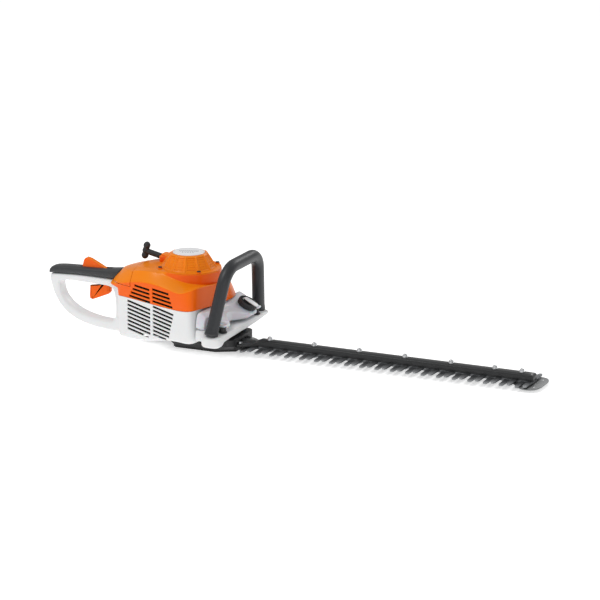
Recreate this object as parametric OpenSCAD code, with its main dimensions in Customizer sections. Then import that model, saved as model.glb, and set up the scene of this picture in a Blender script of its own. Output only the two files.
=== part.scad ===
// Petrol hedge trimmer with a double-sided blade, front loop handle and rear D handle.
// +X runs along the blade to its tip, +Y to the far side, +Z up. The origin lies on the
// floor under the crankshaft, in the flat underside of the gearbox cover.

/* [Blade] */
// Distance between two teeth of one blade
tooth_pitch = 30; // [26:1:34]
// Teeth on each side of one blade
tooth_count = 19; // [12:1:19]
// Tooth tip to the blade's centre line
tooth_reach = 45; // [36:1:48]
// Thickness of one blade
blade_t = 2.5; // [2:0.1:2.6]
// Full stroke of each blade
stroke = 15; // [10:1:16]
// Underside of the lower blade above the floor
blade_z = 7.5; // [7.5:0.1:8]

/* [Guide bar] */
// Width of the guide bar
bar_w = 22; // [20:1:26]
// Height of the guide bar
bar_h = 9; // [7:0.5:10]
// Spacing of the bar bolts
bolt_pitch = 90; // [80:5:92]

/* [Front handle] */
// Diameter of the handle tube
tube_d = 24; // [20:1:26]
// Half width of the loop at its feet
loop_foot_y = 102; // [96:1:104]
// Half width of the loop at its top corners
loop_top_y = 66; // [60:1:72]
// Height of the loop's top bar above the floor
loop_top_z = 170; // [160:1:180]

/* [Rear handle] */
// Width of the rear handle's loop
handle_w = 28; // [24:1:30]
// Travel of the throttle trigger in degrees
trigger_travel = 12; // [8:1:13]

/* [Housing] */
// Height of the seam between lower housing and top cover
seam_z = 92; // [90:1:94]
// Wall of the plastic shells
wall = 2.5; // [2:0.1:3]
// Height of the deck that the fan housing stands on
deck_z = 147; // [146:0.5:148]
// Height of the label disc
dome_z = 175; // [172:1:178]

/* [Engine] */
// Cylinder bore
bore_d = 34; // [30:1:35]
// Piston stroke
piston_stroke = 30; // [26:1:30]
// Height of the cylinder axis
cyl_z = 77; // [77:0.5:78]

/* [Hidden] */
$fn = 48;

eps = 0.01;
run = 0.05;               // radial clearance of a running fit
gap = 0.3;                // clearance between moving neighbours
// gear train
gear_x = 30;              // drive gear axis
gear_m = 1;               // module
pinion_n = 12;
gear_n = 48;
throw = stroke / 2;       // eccentric radius
ecc_r = 13;               // eccentric disc
rod_len = 55;
rod_t = 3;
shaft_r = 5;
rod_lo_z = blade_z - gap - rod_t;
up_z = blade_z + blade_t + 0.2;
rod_up_z = up_z + blade_t + gap;
gear_z = rod_up_z + rod_t + 0.4;
gear_t = 6;
box_top = 28;             // top face of the gear housing
box_x0 = -24;
box_x1 = 112;
box_y = 50;
cover_t = 3.2;
flange_x = 116;           // screws of the bar flange
// Outline of the gearbox at its cover, and of the cavity for the rods
box_foot = [[-18, -30], [-10, -38], [72, -38], [106, -18], [106, 18], [72, 38], [-10, 38], [-18, 30]];
rod_cavity = [[-4, -28], [60, -28], [104, -13], [104, 13], [60, 28], [-4, 28]];
lug_z = 8;
// blades
root_x = gear_x + rod_len;    // blade pin at mid stroke
tooth_x0 = 135;
bar_z = up_z + blade_t + 0.2;
bar_x0 = 104;
bar_x1 = 687;
bolt_x0 = 166.5;
bolt_xs = [for (i = [0 : 4]) bolt_x0 + i * bolt_pitch, 610.5, 662];
blade_half = 11;
blade_end = 682;
tip_x = 706;
// engine
case_z0 = box_top;
case_z1 = 97;
web_r = 22;
web_t = 6;
pin_r = 5;
crank_r = piston_stroke / 2;
conrod_len = 48;
case_r = 31;
fin_top = 19;             // fins above the cylinder axis
// starter
fly_r = 45;
pulley_z = 136;
pulley_r = 23;
rope_r = 18;              // radius the rope winds on
rope_d = 3.4;
rope_tilt = 12.5;         // rise of the rope towards the grip
outlet_x = -62.3;
outlet_z = 155.2;
ear_r = 56.6;             // screws of the fan housing
grip_reach = 37.3;        // outlet to the middle of the grip
// plan outlines of the housing
near_lean = 16.9;         // the near wall turns outwards by this angle
far_lean = 10.7;
bulb_x = 110;             // primer bulb along the far wall
bulb_z = 60;
bulb_r = 11;
hose_y = 50;
seam_outline = [[-119, -49], [50, -100.3], [58, -94], [66, -54], [75, -5], [76, 40],
  [66, 72], [50, 82], [-119, 50], [-150, 26], [-150, -26]];
crease_outline = [[-110, -54], [44, -98], [54, -89], [62, -50], [70, -5], [71, 38],
  [60, 68], [45, 78], [-110, 49], [-146, 22], [-146, -22]];
deck_outline = [[-104, -30], [-60, -50], [20, -66], [50, -56], [60, -10], [60, 20],
  [50, 50], [20, 60], [-60, 48], [-104, 26]];
low_outline = [[-119, -49], [50, -100.3], [58, -94], [58, 78], [50, 82], [-119, 50],
  [-132, 40], [-132, -40]];
low_z = 25;
// Side view of the lower housing, outside and inside
low_side = [[-140, 9], [-100, 8], [-50, 12], [-24, 20], [20, low_z], [70, low_z],
  [70, seam_z], [-140, seam_z]];
low_inside = [[-141, 11.5], [-100, 10.5], [-50, 14.5], [-34, 17.5], [-30, box_top + wall],
  [71, box_top + wall], [71, seam_z + 1], [-141, seam_z + 1]];
crease_z = 127;
cover_hole_r = 49.5;      // opening under the fan housing
// front base and tank
base_x0 = 76;
base_x1 = 115;
base_y = 116;
base_z0 = 34;
base_z1 = 50;
foot_z = 27.7;
foot_x = 95;
loop_lean = 7;
cap_tilt = 28;
cap_base = [96.9, 45, 71.9];
cap_r = 19;

// Polygon p moved inwards by d; p is convex and runs anticlockwise.
function unit(v) = v / norm(v);
function inset(p, d) = [for (i = [0 : len(p) - 1])
  let (n = len(p), a = p[(i + n - 1) % n], b = p[i], c = p[(i + 1) % n],
       u = unit(b - a), v = unit(c - b), nu = [-u[1], u[0]], nv = [-v[1], v[0]])
  b + (nu + nv) * d / (1 + nu * nv)];
// Involute of a base circle rb unrolled by t degrees
function involute(rb, t) = rb * [cos(t) + t * PI / 180 * sin(t), sin(t) - t * PI / 180 * cos(t)];
function turn(p, a) = [p[0] * cos(a) - p[1] * sin(a), p[0] * sin(a) + p[1] * cos(a)];
function polar(r, a) = r * [cos(a), sin(a)];

module ring(ro, ri, h) {
  difference() { cylinder(r = ro, h = h); translate([0, 0, -1]) cylinder(r = ri, h = h + 2); }
}
module at_z(z) { translate([0, 0, z]) children(); }
// Rounded rectangle plate in plan, centred in Y, with corner radius r
module slab(x0, x1, y, h, r = 6) {
  linear_extrude(h) union() {
    translate([x0 + r, -y]) square([x1 - x0 - 2 * r, 2 * y]);
    translate([x0, -y + r]) square([x1 - x0, 2 * y - 2 * r]);
    for (x = [x0 + r, x1 - r], s = [-1, 1]) translate([x, s * (y - r)]) circle(r);
  }
}
// Profile given in X and Z, extruded to both sides of the middle plane
module side_plate(pts, w) {
  translate([0, w / 2, 0]) rotate([90, 0, 0]) linear_extrude(w) polygon(pts);
}
// Spur gear with involute flanks, 25 degree pressure angle, one tooth on +X
module spur(n, h) {
  pr = n * gear_m / 2;
  rb = pr * cos(25);
  ro = pr + 0.9 * gear_m;
  rr = pr - 1.15 * gear_m;
  t_out = sqrt(pow(ro / rb, 2) - 1) * 180 / PI;
  t_pitch = sqrt(pow(pr / rb, 2) - 1) * 180 / PI;
  inv_pitch = t_pitch - 25;
  half = 90 / n - 0.12 / pr * 180 / PI / 2;
  steps = 4;
  linear_extrude(h) polygon([for (k = [0 : n - 1]) each concat(
    [turn(polar(rr, -half - inv_pitch), k * 360 / n)],
    [for (i = [0 : steps]) turn(involute(rb, t_out * i / steps), k * 360 / n - half - inv_pitch)],
    [for (i = [steps : -1 : 0]) let (q = involute(rb, t_out * i / steps))
      turn([q[0], -q[1]], k * 360 / n + half + inv_pitch)],
    [turn(polar(rr, half + inv_pitch), k * 360 / n)])]);
}
// Corner i of path p replaced by an arc of the given bend radius
function cross_n(a, b) = let (c = cross(a, b)) norm(c) < 1e-6 ? [0, 0, 1] : c / norm(c);
function fillet(a, b, c, bend, steps) = let (u = unit(b - a), v = unit(c - b), w = cross_n(u, v),
    ang = acos(u * v), n = cross(w, u), centre = b - u * bend * tan(ang / 2) + n * bend)
  [for (k = [0 : steps]) let (t = ang * k / steps) centre - bend * (n * cos(t) - u * sin(t))];
function rounded(p, bend, steps) = concat([p[0]],
  [for (i = [1 : len(p) - 2]) each fillet(p[i - 1], p[i], p[i + 1], bend, steps)], [p[len(p) - 1]]);
// Round tube of radius r swept along path p; side_dir is never parallel to the path
module sweep(p, r, sides, side_dir) {
  n = len(p);
  function tangent(i) = unit(unit(p[min(i + 1, n - 1)] - p[min(i, n - 2)])
    + unit(p[max(i, 1)] - p[max(i - 1, 0)]));
  function ring_at(i) = let (t = tangent(i), a = unit(cross(side_dir, t)), b = cross(t, a))
    [for (k = [0 : sides - 1]) p[i] + r * (a * cos(k * 360 / sides) + b * sin(k * 360 / sides))];
  polyhedron([for (i = [0 : n - 1]) each ring_at(i)], concat(
    [[for (k = [sides - 1 : -1 : 0]) k]], [[for (k = [0 : sides - 1]) (n - 1) * sides + k]],
    [for (i = [0 : n - 2], k = [0 : sides - 1]) each [
      [i * sides + k, i * sides + (k + 1) % sides, (i + 1) * sides + (k + 1) % sides],
      [i * sides + k, (i + 1) * sides + (k + 1) % sides, (i + 1) * sides + k]]]));
}

// ---- Gearbox ----
screw_xy = [[-9, 32.6], [-9, -32.6], [32, 32.6], [32, -32.6], [69, 32.6], [69, -32.6]];
module gear_housing() {
  color("#26282b") difference() {
    union() {
      hull() {
        at_z(cover_t) linear_extrude(1) polygon(box_foot);
        at_z(16) slab(box_x0, box_x1, box_y, box_top - 16, 14);
      }
      for (y = [-38, 38]) translate([90, y, box_top]) cylinder(r = 9, h = base_z0 - box_top);
      for (s = [-1, 1]) translate([box_x1 - 8, s * 21.5 - 8.5, lug_z]) cube([16, 17, bar_z - lug_z]);
    }
    at_z(cover_t - 1) linear_extrude(gear_z - cover_t + 1.2) polygon(rod_cavity);
    at_z(cover_t - 1) translate([100, -blade_half - 1.5, 0])
      cube([20, 2 * blade_half + 3, bar_z + bar_h + 0.5 - cover_t + 1]);
    translate([gear_x, 0, gear_z - 1]) cylinder(r = 26.5, h = gear_t + 2.4);
    at_z(gear_z - 1) cylinder(r = 8, h = gear_t + 2);
    translate([gear_x, 0, gear_z]) cylinder(r = shaft_r + run, h = 27 - gear_z);
    at_z(23) cylinder(r = 10, h = 10);
    for (q = screw_xy) translate([q[0], q[1], 0]) cylinder(r = 2, h = 14);
    for (s = [-1, 1]) translate([flange_x, s * 22, 5]) cylinder(r = 2, h = 20);
  }
}
module gear_cover() {
  color("#2f3235") difference() {
    linear_extrude(cover_t) polygon(box_foot);
    translate([gear_x, 0, 1]) cylinder(r = shaft_r + run, h = cover_t);
    for (q = screw_xy) translate([q[0], q[1], -1]) {
      cylinder(r = 2, h = 10);
      cylinder(r = 4.2, h = 2.6);
    }
  }
}
module cover_screws() {
  color("silver") for (q = screw_xy) translate([q[0], q[1], 0]) difference() {
    union() { at_z(0.3) cylinder(r = 4.2, h = 1.3); at_z(1.6) cylinder(r = 2, h = 11); }
    at_z(-0.5) cylinder(r = 1.6, h = 1.4, $fn = 6);
  }
}
module drum_bearing() { color("silver") at_z(23) ring(10, shaft_r + run, 5); }
module clutch_drum() {
  color("#9aa0a6") difference() {
    union() {
      at_z(gear_z) rotate([0, 0, 180 / pinion_n]) spur(pinion_n, gear_t);
      at_z(gear_z + gear_t - eps) cylinder(r = shaft_r, h = 30 - gear_z - gear_t + 2 * eps);
      at_z(30) cylinder(r = 28, h = 20);
    }
    at_z(32.5) cylinder(r = 26, h = 20);
  }
}
module eccentric(z, dx) { translate([dx, 0, z]) cylinder(r = ecc_r, h = rod_t); }
module drive_gear() {
  color("#8d9298") translate([gear_x, 0, 0]) {
    difference() {
      at_z(gear_z) spur(gear_n, gear_t);
      for (a = [30 : 60 : 330]) rotate([0, 0, a]) translate([15.5, 0, gear_z - 1])
        cylinder(r = 4, h = gear_t + 2);
    }
    at_z(1.2) cylinder(r = shaft_r, h = 25.6);
    eccentric(rod_lo_z, -throw);
    eccentric(rod_up_z, throw);
  }
}
module rod(z, dx) {
  translate([gear_x + dx, 0, z]) difference() {
    union() {
      cylinder(r = 17, h = rod_t);
      translate([10, -6, 0]) cube([rod_len - 10, 12, rod_t]);
      translate([rod_len, 0, 0]) cylinder(r = 9, h = rod_t);
    }
    at_z(-1) cylinder(r = ecc_r + run, h = rod_t + 2);
    translate([rod_len, 0, -1]) cylinder(r = 4, h = rod_t + 2);
  }
}
module lower_rod() { color("#a9adb2") rod(rod_lo_z, -throw); }
module upper_rod() { color("#a9adb2") rod(rod_up_z, throw); }

// ---- Blades and guide bar ----
tooth_root = 7;
tooth_tip = 3;
function tooth(x, s) = [[x - tooth_root, s * (blade_half - 1)], [x - tooth_root + 1.5, s * blade_half],
  [x - tooth_tip - 1, s * (tooth_reach - 4)], [x - tooth_tip + 1, s * tooth_reach],
  [x + tooth_tip - 1, s * tooth_reach], [x + tooth_tip + 1, s * (tooth_reach - 4)],
  [x + tooth_root - 1.5, s * blade_half], [x + tooth_root, s * (blade_half - 1)]];
// A blade at mid stroke shifted by dx: spine, teeth, guide slots and drive pin hole
module blade(z, dx) {
  translate([dx, 0, z]) difference() {
    union() {
      translate([root_x - 2, -blade_half, 0]) cube([blade_end - root_x, 2 * blade_half, blade_t]);
      translate([root_x, 0, 0]) cylinder(r = blade_half, h = blade_t);
      linear_extrude(blade_t) for (i = [0 : tooth_count - 1], s = [-1, 1])
        polygon(tooth(tooth_x0 + i * tooth_pitch, s));
    }
    translate([root_x, 0, -1]) cylinder(r = 4, h = blade_t + 2);
    for (x = bolt_xs) {
      translate([x - throw, -3.4, -1]) cube([stroke, 6.8, blade_t + 2]);
      for (e = [-throw, throw]) translate([x + e, 0, -1]) cylinder(r = 3.4, h = blade_t + 2);
    }
  }
}
module lower_blade() { color("#8f9499") blade(blade_z, -throw); }
module upper_blade() { color("#a2a7ac") blade(up_z, throw); }
module guide_bar() {
  color("#1f2123") difference() {
    union() {
      at_z(bar_z) linear_extrude(bar_h - 3) union() {
        translate([bar_x0, -bar_w / 2]) square([bar_x1 - bar_x0, bar_w]);
        polygon([[112.3, -30], [122, -28], [136, -16], [150, -bar_w / 2], [150, bar_w / 2],
          [136, 16], [122, 28], [112.3, 30]]);
      }
      side_bar();
    }
    for (x = bolt_xs) translate([x, 0, bar_z - 1]) cylinder(r = 3, h = 30);
    for (y = [-22, 22]) translate([flange_x, y, bar_z - 1]) cylinder(r = 2, h = 30);
  }
}
// Raised rib along the bar with sloping sides
module side_bar() {
  h = bar_h;
  translate([bar_x0, 0, bar_z]) rotate([90, 0, 90]) linear_extrude(bar_x1 - bar_x0 - 6)
    polygon([[-8.5, h - 3 - eps], [-6.5, h], [6.5, h], [8.5, h - 3 - eps]]);
}
module bar_bolts() {
  color("#c8ccd0") for (x = bolt_xs) translate([x, 0, 0]) {
    at_z(blade_z - 5) cylinder(r = 3, h = bar_z + bar_h - blade_z + 5);
    at_z(bar_z + bar_h) cylinder(r = 6, h = 1.2);
    at_z(bar_z + bar_h + 1.2) rotate_extrude() polygon(concat([[0, 0]],
      [for (a = [0 : 15 : 90]) [4.8 * cos(a), 4.2 * sin(a)]]));
  }
}
module bar_nuts() {
  color("#55595d") for (x = bolt_xs) translate([x, 0, 0]) {
    at_z(x > 650 ? blade_z - 5 : blade_z - 4.6) difference() {
      cylinder(r = 5.4, h = x > 650 ? 2.3 : 2.6, $fn = 6);
      at_z(-1) cylinder(r = 3, h = 6);
    }
    if (x < 650) at_z(blade_z - 2) ring(8, 3, 1.8);
  }
}
module root_screws() {
  color("#d0d3d6") for (y = [-22, 22]) translate([flange_x, y, 0]) {
    at_z(5) cylinder(r = 2, h = bar_z + bar_h - 8);
    at_z(bar_z + bar_h - 3) cylinder(r = 4, h = 2.4);
  }
}
module tip_guard() {
  color("#7c7f80") difference() {
    at_z(blade_z - 2.7) linear_extrude(2.5) polygon(concat(
      [[648, -14], [648, 14], [668, 36], [676, 43]],
      [for (a = [60 : -15 : -60]) [tip_x - 24 + 24 * cos(a), 47 * sin(a) / sin(60) * 0.9]],
      [[676, -43], [668, -36]]));
    translate([662, 0, 0]) cylinder(r = 3, h = 20);
    for (y = [-24, 24]) translate([690, y, 0]) cylinder(r = 3, h = 20);
  }
}

// ---- Engine ----
module crankcase() {
  color("#b4b8bc") difference() {
    union() {
      at_z(case_z0) ring(35, 30, 24);
      at_z(51) cylinder(r = 35, h = 3);
      at_z(53) cylinder(r = case_r, h = case_z1 - 53);
      translate([-38, -24, 55]) cube([30, 48, 42]);
    }
    at_z(cyl_z - 11.4) cylinder(r = web_r + 1.5, h = 22.8);
    translate([-50, 0, cyl_z]) rotate([0, 90, 0]) cylinder(r = bore_d / 2 + 0.5, h = 50);
    at_z(40) cylinder(r = 8, h = 70);
    at_z(54) cylinder(r = 13, h = 7);
    at_z(91) cylinder(r = 13, h = 10);
  }
}
module crank_bearings() {
  color("silver") { at_z(54) ring(13, 6 + run, 7); at_z(91) ring(13, 6 + run, 6); }
}
module crank_half(z_web, z_pin, pin_h) {
  at_z(z_web) cylinder(r = web_r, h = web_t);
  translate([-crank_r, 0, z_pin]) cylinder(r = pin_r, h = pin_h);
}
pin_stub = 2.7;
web_gap = 5;
module crank_lower() {
  color("#8b9096") {
    crank_half(cyl_z - web_gap - web_t, cyl_z - web_gap - eps, pin_stub);
    at_z(35) cylinder(r = 6, h = cyl_z - web_gap - web_t - 35 + eps);
  }
}
module crank_upper() {
  color("#8b9096") {
    crank_half(cyl_z + web_gap, cyl_z + web_gap - pin_stub, pin_stub + eps);
    at_z(cyl_z + web_gap + web_t - eps) cylinder(r = 6, h = 127 - cyl_z - web_gap - web_t);
  }
}
module clutch_hub() {
  color("#6f747a") difference() {
    at_z(35) cylinder(r = 24.5, h = 13);
    at_z(34) cylinder(r = 6, h = 20);
    for (a = [0 : 120 : 240]) rotate([0, 0, a]) translate([8.5, -1, 34]) cube([20, 2, 20]);
  }
}
module flywheel() {
  color("#9da2a7") difference() {
    union() {
      at_z(101) cylinder(r = fly_r, h = 7);
      at_z(101) cylinder(r = 14, h = 20);
      for (a = [0 : 30 : 330]) rotate([0, 0, a]) translate([18, -1, 107.9]) cube([26, 2, 13]);
    }
    at_z(100) cylinder(r = 6, h = 30);
  }
}
module ignition_module() {
  color("#202224") union() {
    translate([-22, 47.5, 98]) cube([34, 11, 14]);
    translate([-28, 49.5, 94]) cube([8, 8, 12]);
  }
}
head_x = -16 - conrod_len - 14;   // inside face of the cylinder head
module finned_barrel() {
  translate([head_x - 8, 0, cyl_z]) rotate([0, 90, 0]) cylinder(r = bore_d / 2 + 4, h = -38 - head_x + 8);
  for (i = [0 : 8]) translate([-44 - 5 * i, -28, cyl_z - fin_top]) cube([1.6, 56, 2 * fin_top]);
  translate([-41, -24, cyl_z - 20]) cube([3, 48, 40]);
}
module engine_cylinder() {
  color("#c2c6ca") difference() {
    finned_barrel();
    translate([head_x, 0, cyl_z]) rotate([0, 90, 0]) cylinder(r = bore_d / 2 + run, h = 60);
    translate([head_x - 20, 0, cyl_z]) rotate([0, 90, 0]) cylinder(r = 5, h = 30);
  }
}
pin_x = -crank_r - conrod_len;    // piston pin at rest
module piston() {
  color("#d5d8da") translate([pin_x, 0, cyl_z]) difference() {
    translate([-13, 0, 0]) rotate([0, 90, 0]) cylinder(r = bore_d / 2, h = 22);
    translate([-9, 0, 0]) rotate([0, 90, 0]) cylinder(r = bore_d / 2 - 3, h = 30);
    cylinder(r = 4, h = 60, center = true);
  }
}
module piston_pin() {
  color("silver") translate([pin_x, 0, cyl_z]) cylinder(r = 4, h = 30, center = true);
}
module connecting_rod() {
  color("#777c82") translate([pin_x, 0, cyl_z - 2]) difference() {
    union() {
      cylinder(r = 7, h = 4);
      translate([0, -4, 0]) cube([conrod_len, 8, 4]);
      translate([conrod_len, 0, 0]) cylinder(r = 8, h = 4);
    }
    translate([conrod_len, 0, -1]) cylinder(r = pin_r + run, h = 6);
    at_z(-1) cylinder(r = 4, h = 6);
  }
}
module spark_plug() {
  color("#e9e9e6") translate([head_x, 0, cyl_z]) rotate([0, -90, 0]) {
    cylinder(r = 5, h = 8);
    at_z(8) cylinder(r = 8, h = 7, $fn = 6);
    at_z(15) cylinder(r = 4.5, h = 16);
  }
}
module plug_boot() {
  color("#222426") translate([head_x, 0, cyl_z]) rotate([0, -90, 0]) at_z(16) difference() {
    cylinder(r = 8, h = 22);
    at_z(-1) cylinder(r = 4.5, h = 16);
  }
}
module muffler() {
  color("#4a4d50") difference() {
    union() {
      translate([-58, -58, 60]) cube([50, 20, 32]);
      translate([-50, -38.1, 66]) cube([20, 10, 20]);
    }
    translate([-46, -50, 62]) rotate([90, 0, 0]) cylinder(r = 5, h = 20);
  }
}
module carburetor() {
  color("#a8acb0") difference() {
    union() {
      translate([-62, 40, 66]) cube([28, 14, 26]);
      translate([-48, 40.1, 79]) rotate([90, 0, 0]) cylinder(r = 10, h = 4.6);
    }
    translate([-48, 60, 79]) rotate([90, 0, 0]) cylinder(r = 6, h = 40);
  }
}
module intake_block() {
  color("#303336") difference() {
    translate([-62, 28.2, 62]) cube([24, 7.2, 32]);
    translate([-48, 60, 79]) rotate([90, 0, 0]) cylinder(r = 6, h = 60);
  }
}
module air_filter() { color("#d8cfae") translate([-128, -24, 108]) cube([30, 44, 20]); }
module choke_knob() {
  color("#202224") translate([-100, 54.6, 104]) rotate([-90, 0, 12]) {
    cylinder(r = 10, h = 6);
    at_z(6) translate([-9, -2, -eps]) cube([18, 4, 6]);
    at_z(-14) cylinder(r = 3, h = 14.1);
  }
}
module primer_bulb() {
  color("#5b5e61") on_far_wall() translate([bulb_x, 0.5, bulb_z]) rotate([-90, 0, 0]) {
    at_z(-6) cylinder(r = bulb_r, h = 6);
    rotate_extrude() polygon(concat([[0, 0]], [for (a = [0 : 15 : 90]) [bulb_r * cos(a), 9 * sin(a)]]));
  }
}
hose_route = [[59.8, hose_y, 60], [40, hose_y, 60], [5, 48, 64], [-20, 47, 70], [-34, 47, 72]];
module fuel_hose() { color("#3b3d40") sweep(hose_route, 2.5, 12, [0, 1, 0]); }

// ---- Starter ----
module starter_pulley() {
  color("#3a3d40") difference() {
    union() {
      at_z(pulley_z) cylinder(r = pulley_r, h = 2);
      at_z(pulley_z + 1.9) cylinder(r = rope_r - 5, h = 8.7);
      at_z(pulley_z + 10.5) cylinder(r = pulley_r, h = 1.5);
    }
    at_z(pulley_z - 1) cylinder(r = 5 + run, h = 20);
  }
}
module rope_coil() { color("#e8e6df") at_z(pulley_z + 2) ring(rope_r - 2, rope_r - 5, 8.5); }
spring_w = 0.6;
module rewind_spring() {
  turns = 4;
  function sp(a, r0) = polar(r0 + 8 * a / 360 / turns * 1.4, a);
  color("#7d8287") at_z(pulley_z + 14) linear_extrude(5) polygon(concat(
    [for (a = [0 : 20 : 360 * turns]) sp(a, 8)],
    [for (a = [360 * turns : -20 : 0]) sp(a, 8 + spring_w)]));
}
// Places children on the rope's line: +Z points from the outlet to the grip
module on_rope() { translate([outlet_x, rope_r, outlet_z]) rotate([0, rope_tilt - 90, 0]) children(); }
module starter_rope() {
  color("#e8e6df") on_rope() at_z(-58) cylinder(r = rope_d / 2, h = 58 + grip_reach - 4);
}
module starter_grip() {
  color("#1c1e20") on_rope() difference() {
    union() {
      at_z(5) cylinder(r = 5, h = grip_reach - 5);
      at_z(grip_reach) rotate([0, 90, 0]) cylinder(r = 5.8, h = 20, center = true);
      for (s = [-10, 10]) translate([s, 0, grip_reach]) sphere(r = 5.8);
    }
    at_z(-1) cylinder(r = rope_d / 2, h = 1 + grip_reach - 4);
  }
}
dome_profile = [[61, 0], [61, 2.5], [52.5, 3.5], [50, 10], [45, 19], [38, 25], [31, 27.5], [0, 27.5],
  [0, 25], [30, 25], [36.5, 22.8], [43, 17.6], [47.5, 9.2], [50, 2], [50, 0]];
module fan_housing() {
  color("#f26a1b") difference() {
    union() {
      at_z(deck_z) rotate_extrude($fn = 96) polygon(dome_profile);
      at_z(pulley_z + 0.6) cylinder(r = 5, h = dome_z - pulley_z - 2);
      on_rope() at_z(-16) cylinder(r = 7, h = 20);
      for (a = [45 : 90 : 315])
        rotate([0, 0, a]) translate([ear_r, 0, deck_z + 1]) cylinder(r = 4, h = 2.6);
    }
    on_rope() at_z(-40) cylinder(r = rope_d / 2 + gap, h = 60);
    at_z(deck_z - 12) ring(80, cover_hole_r - gap, 12);
    for (a = [0 : 15 : 345]) if (abs(a - 165) > 16) rotate([0, 0, a + 7.5])
      translate([36, -1.6, deck_z + 5]) rotate([0, -28, 0]) cube([8, 3.2, 14]);
    for (a = [45 : 90 : 315]) rotate([0, 0, a]) translate([ear_r, 0, deck_z - 1]) cylinder(r = 2, h = 10);
  }
}
module label_disc() { color("#f4f4f2") at_z(dome_z - 0.5) cylinder(r = 29.5, h = 1.5); }

// ---- Shells ----
module cover_solid(d) {
  hull() {
    at_z(seam_z) linear_extrude(1) polygon(inset(seam_outline, d));
    at_z(crease_z - d / 2) linear_extrude(1) polygon(inset(crease_outline, d));
    at_z(deck_z - 1 - d) linear_extrude(1) polygon(inset(deck_outline, d));
  }
}
module cover_shell() {
  difference() {
    cover_solid(0);
    cover_solid(wall);
    at_z(seam_z - 1) linear_extrude(2.5) polygon(inset(seam_outline, wall));
    translate([-160, -15.4, seam_z - 5]) cube([24, 30.8, 60]);
    at_z(seam_z - 5) cylinder(r = cover_hole_r, h = 90);
  }
}
// Local frame on the near wall: x along the wall, y into the body
module on_near_wall() { translate([-119, -49, 0]) rotate([0, 0, -near_lean]) children(); }
module on_far_wall() { translate([-119, 50, 0]) rotate([0, 0, far_lean]) children(); }
knob_places = [[-96.9, 40], [-61.6, 40]];
slot_slope = 8;
slot_pitch = 7.6;
slot_h = 3.8;
slot_cols = [[20, 77], [83, 135]];
// Slanted cooling slots of the near wall between two heights
module louvres(z0, z1) {
  for (c = slot_cols) intersection() {
    on_near_wall() translate([c[0], -9, z0]) cube([c[1] - c[0], 16, z1 - z0]);
    union() for (i = [0 : 19]) on_near_wall() translate([c[0] - 2, -8, low_z + i * slot_pitch])
      rotate([0, slot_slope, 0]) cube([(c[1] - c[0] + 4) / cos(slot_slope), 14, slot_h]);
  }
}
module top_cover() {
  color("#f26a1b") difference() {
    cover_shell();
    louvres(seam_z + 4, 120);
    translate([-170, -90, 112]) cube([170 - 92, 180, 60]);
    for (k = knob_places) translate([k[0], 40, 104]) rotate([-90, 0, 12]) cylinder(r = 3.4, h = 40);
    for (a = [45 : 90 : 315]) rotate([0, 0, a]) translate([ear_r, 0, deck_z - 10]) cylinder(r = 2, h = 20);
  }
}
module filter_cover() {
  color("#f26a1b") intersection() {
    cover_shell();
    translate([-170, -90, 112.4]) cube([170 - 92.4, 180, 60]);
  }
}
module lower_housing() {
  color("#eceded") difference() {
    intersection() {
      linear_extrude(seam_z) polygon(low_outline);
      side_plate(low_side, 240);
    }
    intersection() {
      linear_extrude(seam_z + 1) polygon(inset(low_outline, wall));
      side_plate(low_inside, 240);
    }
    at_z(20) cylinder(r = 35.4, h = 20);
    translate([box_x0 - gap, -box_y - gap, 20]) cube([100, 2 * (box_y + gap), box_top - 20]);
    louvres(32, seam_z - 4);
    on_far_wall() translate([bulb_x, -8, bulb_z]) rotate([-90, 0, 0]) cylinder(r = bulb_r + gap, h = 20);
    translate([50, hose_y, 60]) rotate([0, 90, 0]) cylinder(r = 3, h = 10);
  }
}

// ---- Rear handle ----
d_outer = [[-292, 105.7], [-287, 86], [-279, 64], [-265, 45], [-243, 27], [-215, 17], [-183, 14],
  [-150, 17], [-132.3, 22], [-132.3, 91.7], [-137, 91.7], [-137, 106], [-149, 108], [-160, 108.3],
  [-222, 109.5], [-254, 108]];
d_inner = [[-259, 92], [-262, 81], [-255, 66], [-242, 52], [-225, 41.5], [-200, 34.6], [-176, 31.4],
  [-156, 31], [-151, 36], [-150, 60], [-154, 76], [-158, 86], [-158, 92]];
grip_side = [[-292, 106], [-292, 109], [-289, 115], [-280, 119.5], [-252, 122.5], [-222, 124], [-172, 126],
  [-145, 129], [-137, 130.5], [-148, 110], [-149, 108.3], [-160, 108.6], [-222, 109.8], [-254, 108.3]];
slot_half = 5;
module handle_slot() { translate([-226, -slot_half, 80]) cube([66.5, 2 * slot_half, 60]); }
pivot_trigger = [-166, 0, 105];
pivot_lock = [-181, 0, 113];
module pin_holes() {
  for (p = [pivot_trigger, pivot_lock])
    translate(p) rotate([90, 0, 0]) cylinder(r = 2, h = 60, center = true);
}
module rear_handle() {
  color("#eceded") difference() {
    side_plate(d_outer, handle_w);
    side_plate(d_inner, handle_w + 2);
    handle_slot();
    pin_holes();
  }
}
module handle_grip() {
  color("#1c1e20") difference() {
    side_plate(grip_side, handle_w + 2);
    handle_slot();
    pin_holes();
  }
}
module lever(p, pts) {
  difference() {
    side_plate(pts, 2 * slot_half - 1.4);
    translate(p) rotate([90, 0, 0]) cylinder(r = 2 + run, h = 60, center = true);
  }
}
module throttle_trigger() {
  color("#f26a1b") lever(pivot_trigger, [[-171, 110], [-162, 110], [-161, 91], [-162, 79], [-200, 62],
    [-206, 64], [-207, 70], [-206, 89], [-190, 92], [-176, 96]]);
}
module lockout_lever() {
  color("#f26a1b") lever(pivot_lock, [[-176, 108.4], [-175, 125.5], [-208, 141], [-215, 142], [-220.6, 127],
    [-221, 111], [-200, 109]]);
}
module handle_pins() {
  color("silver") for (p = [pivot_trigger, pivot_lock]) translate(p) rotate([90, 0, 0])
    cylinder(r = 2, h = 22, center = true);
}
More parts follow.
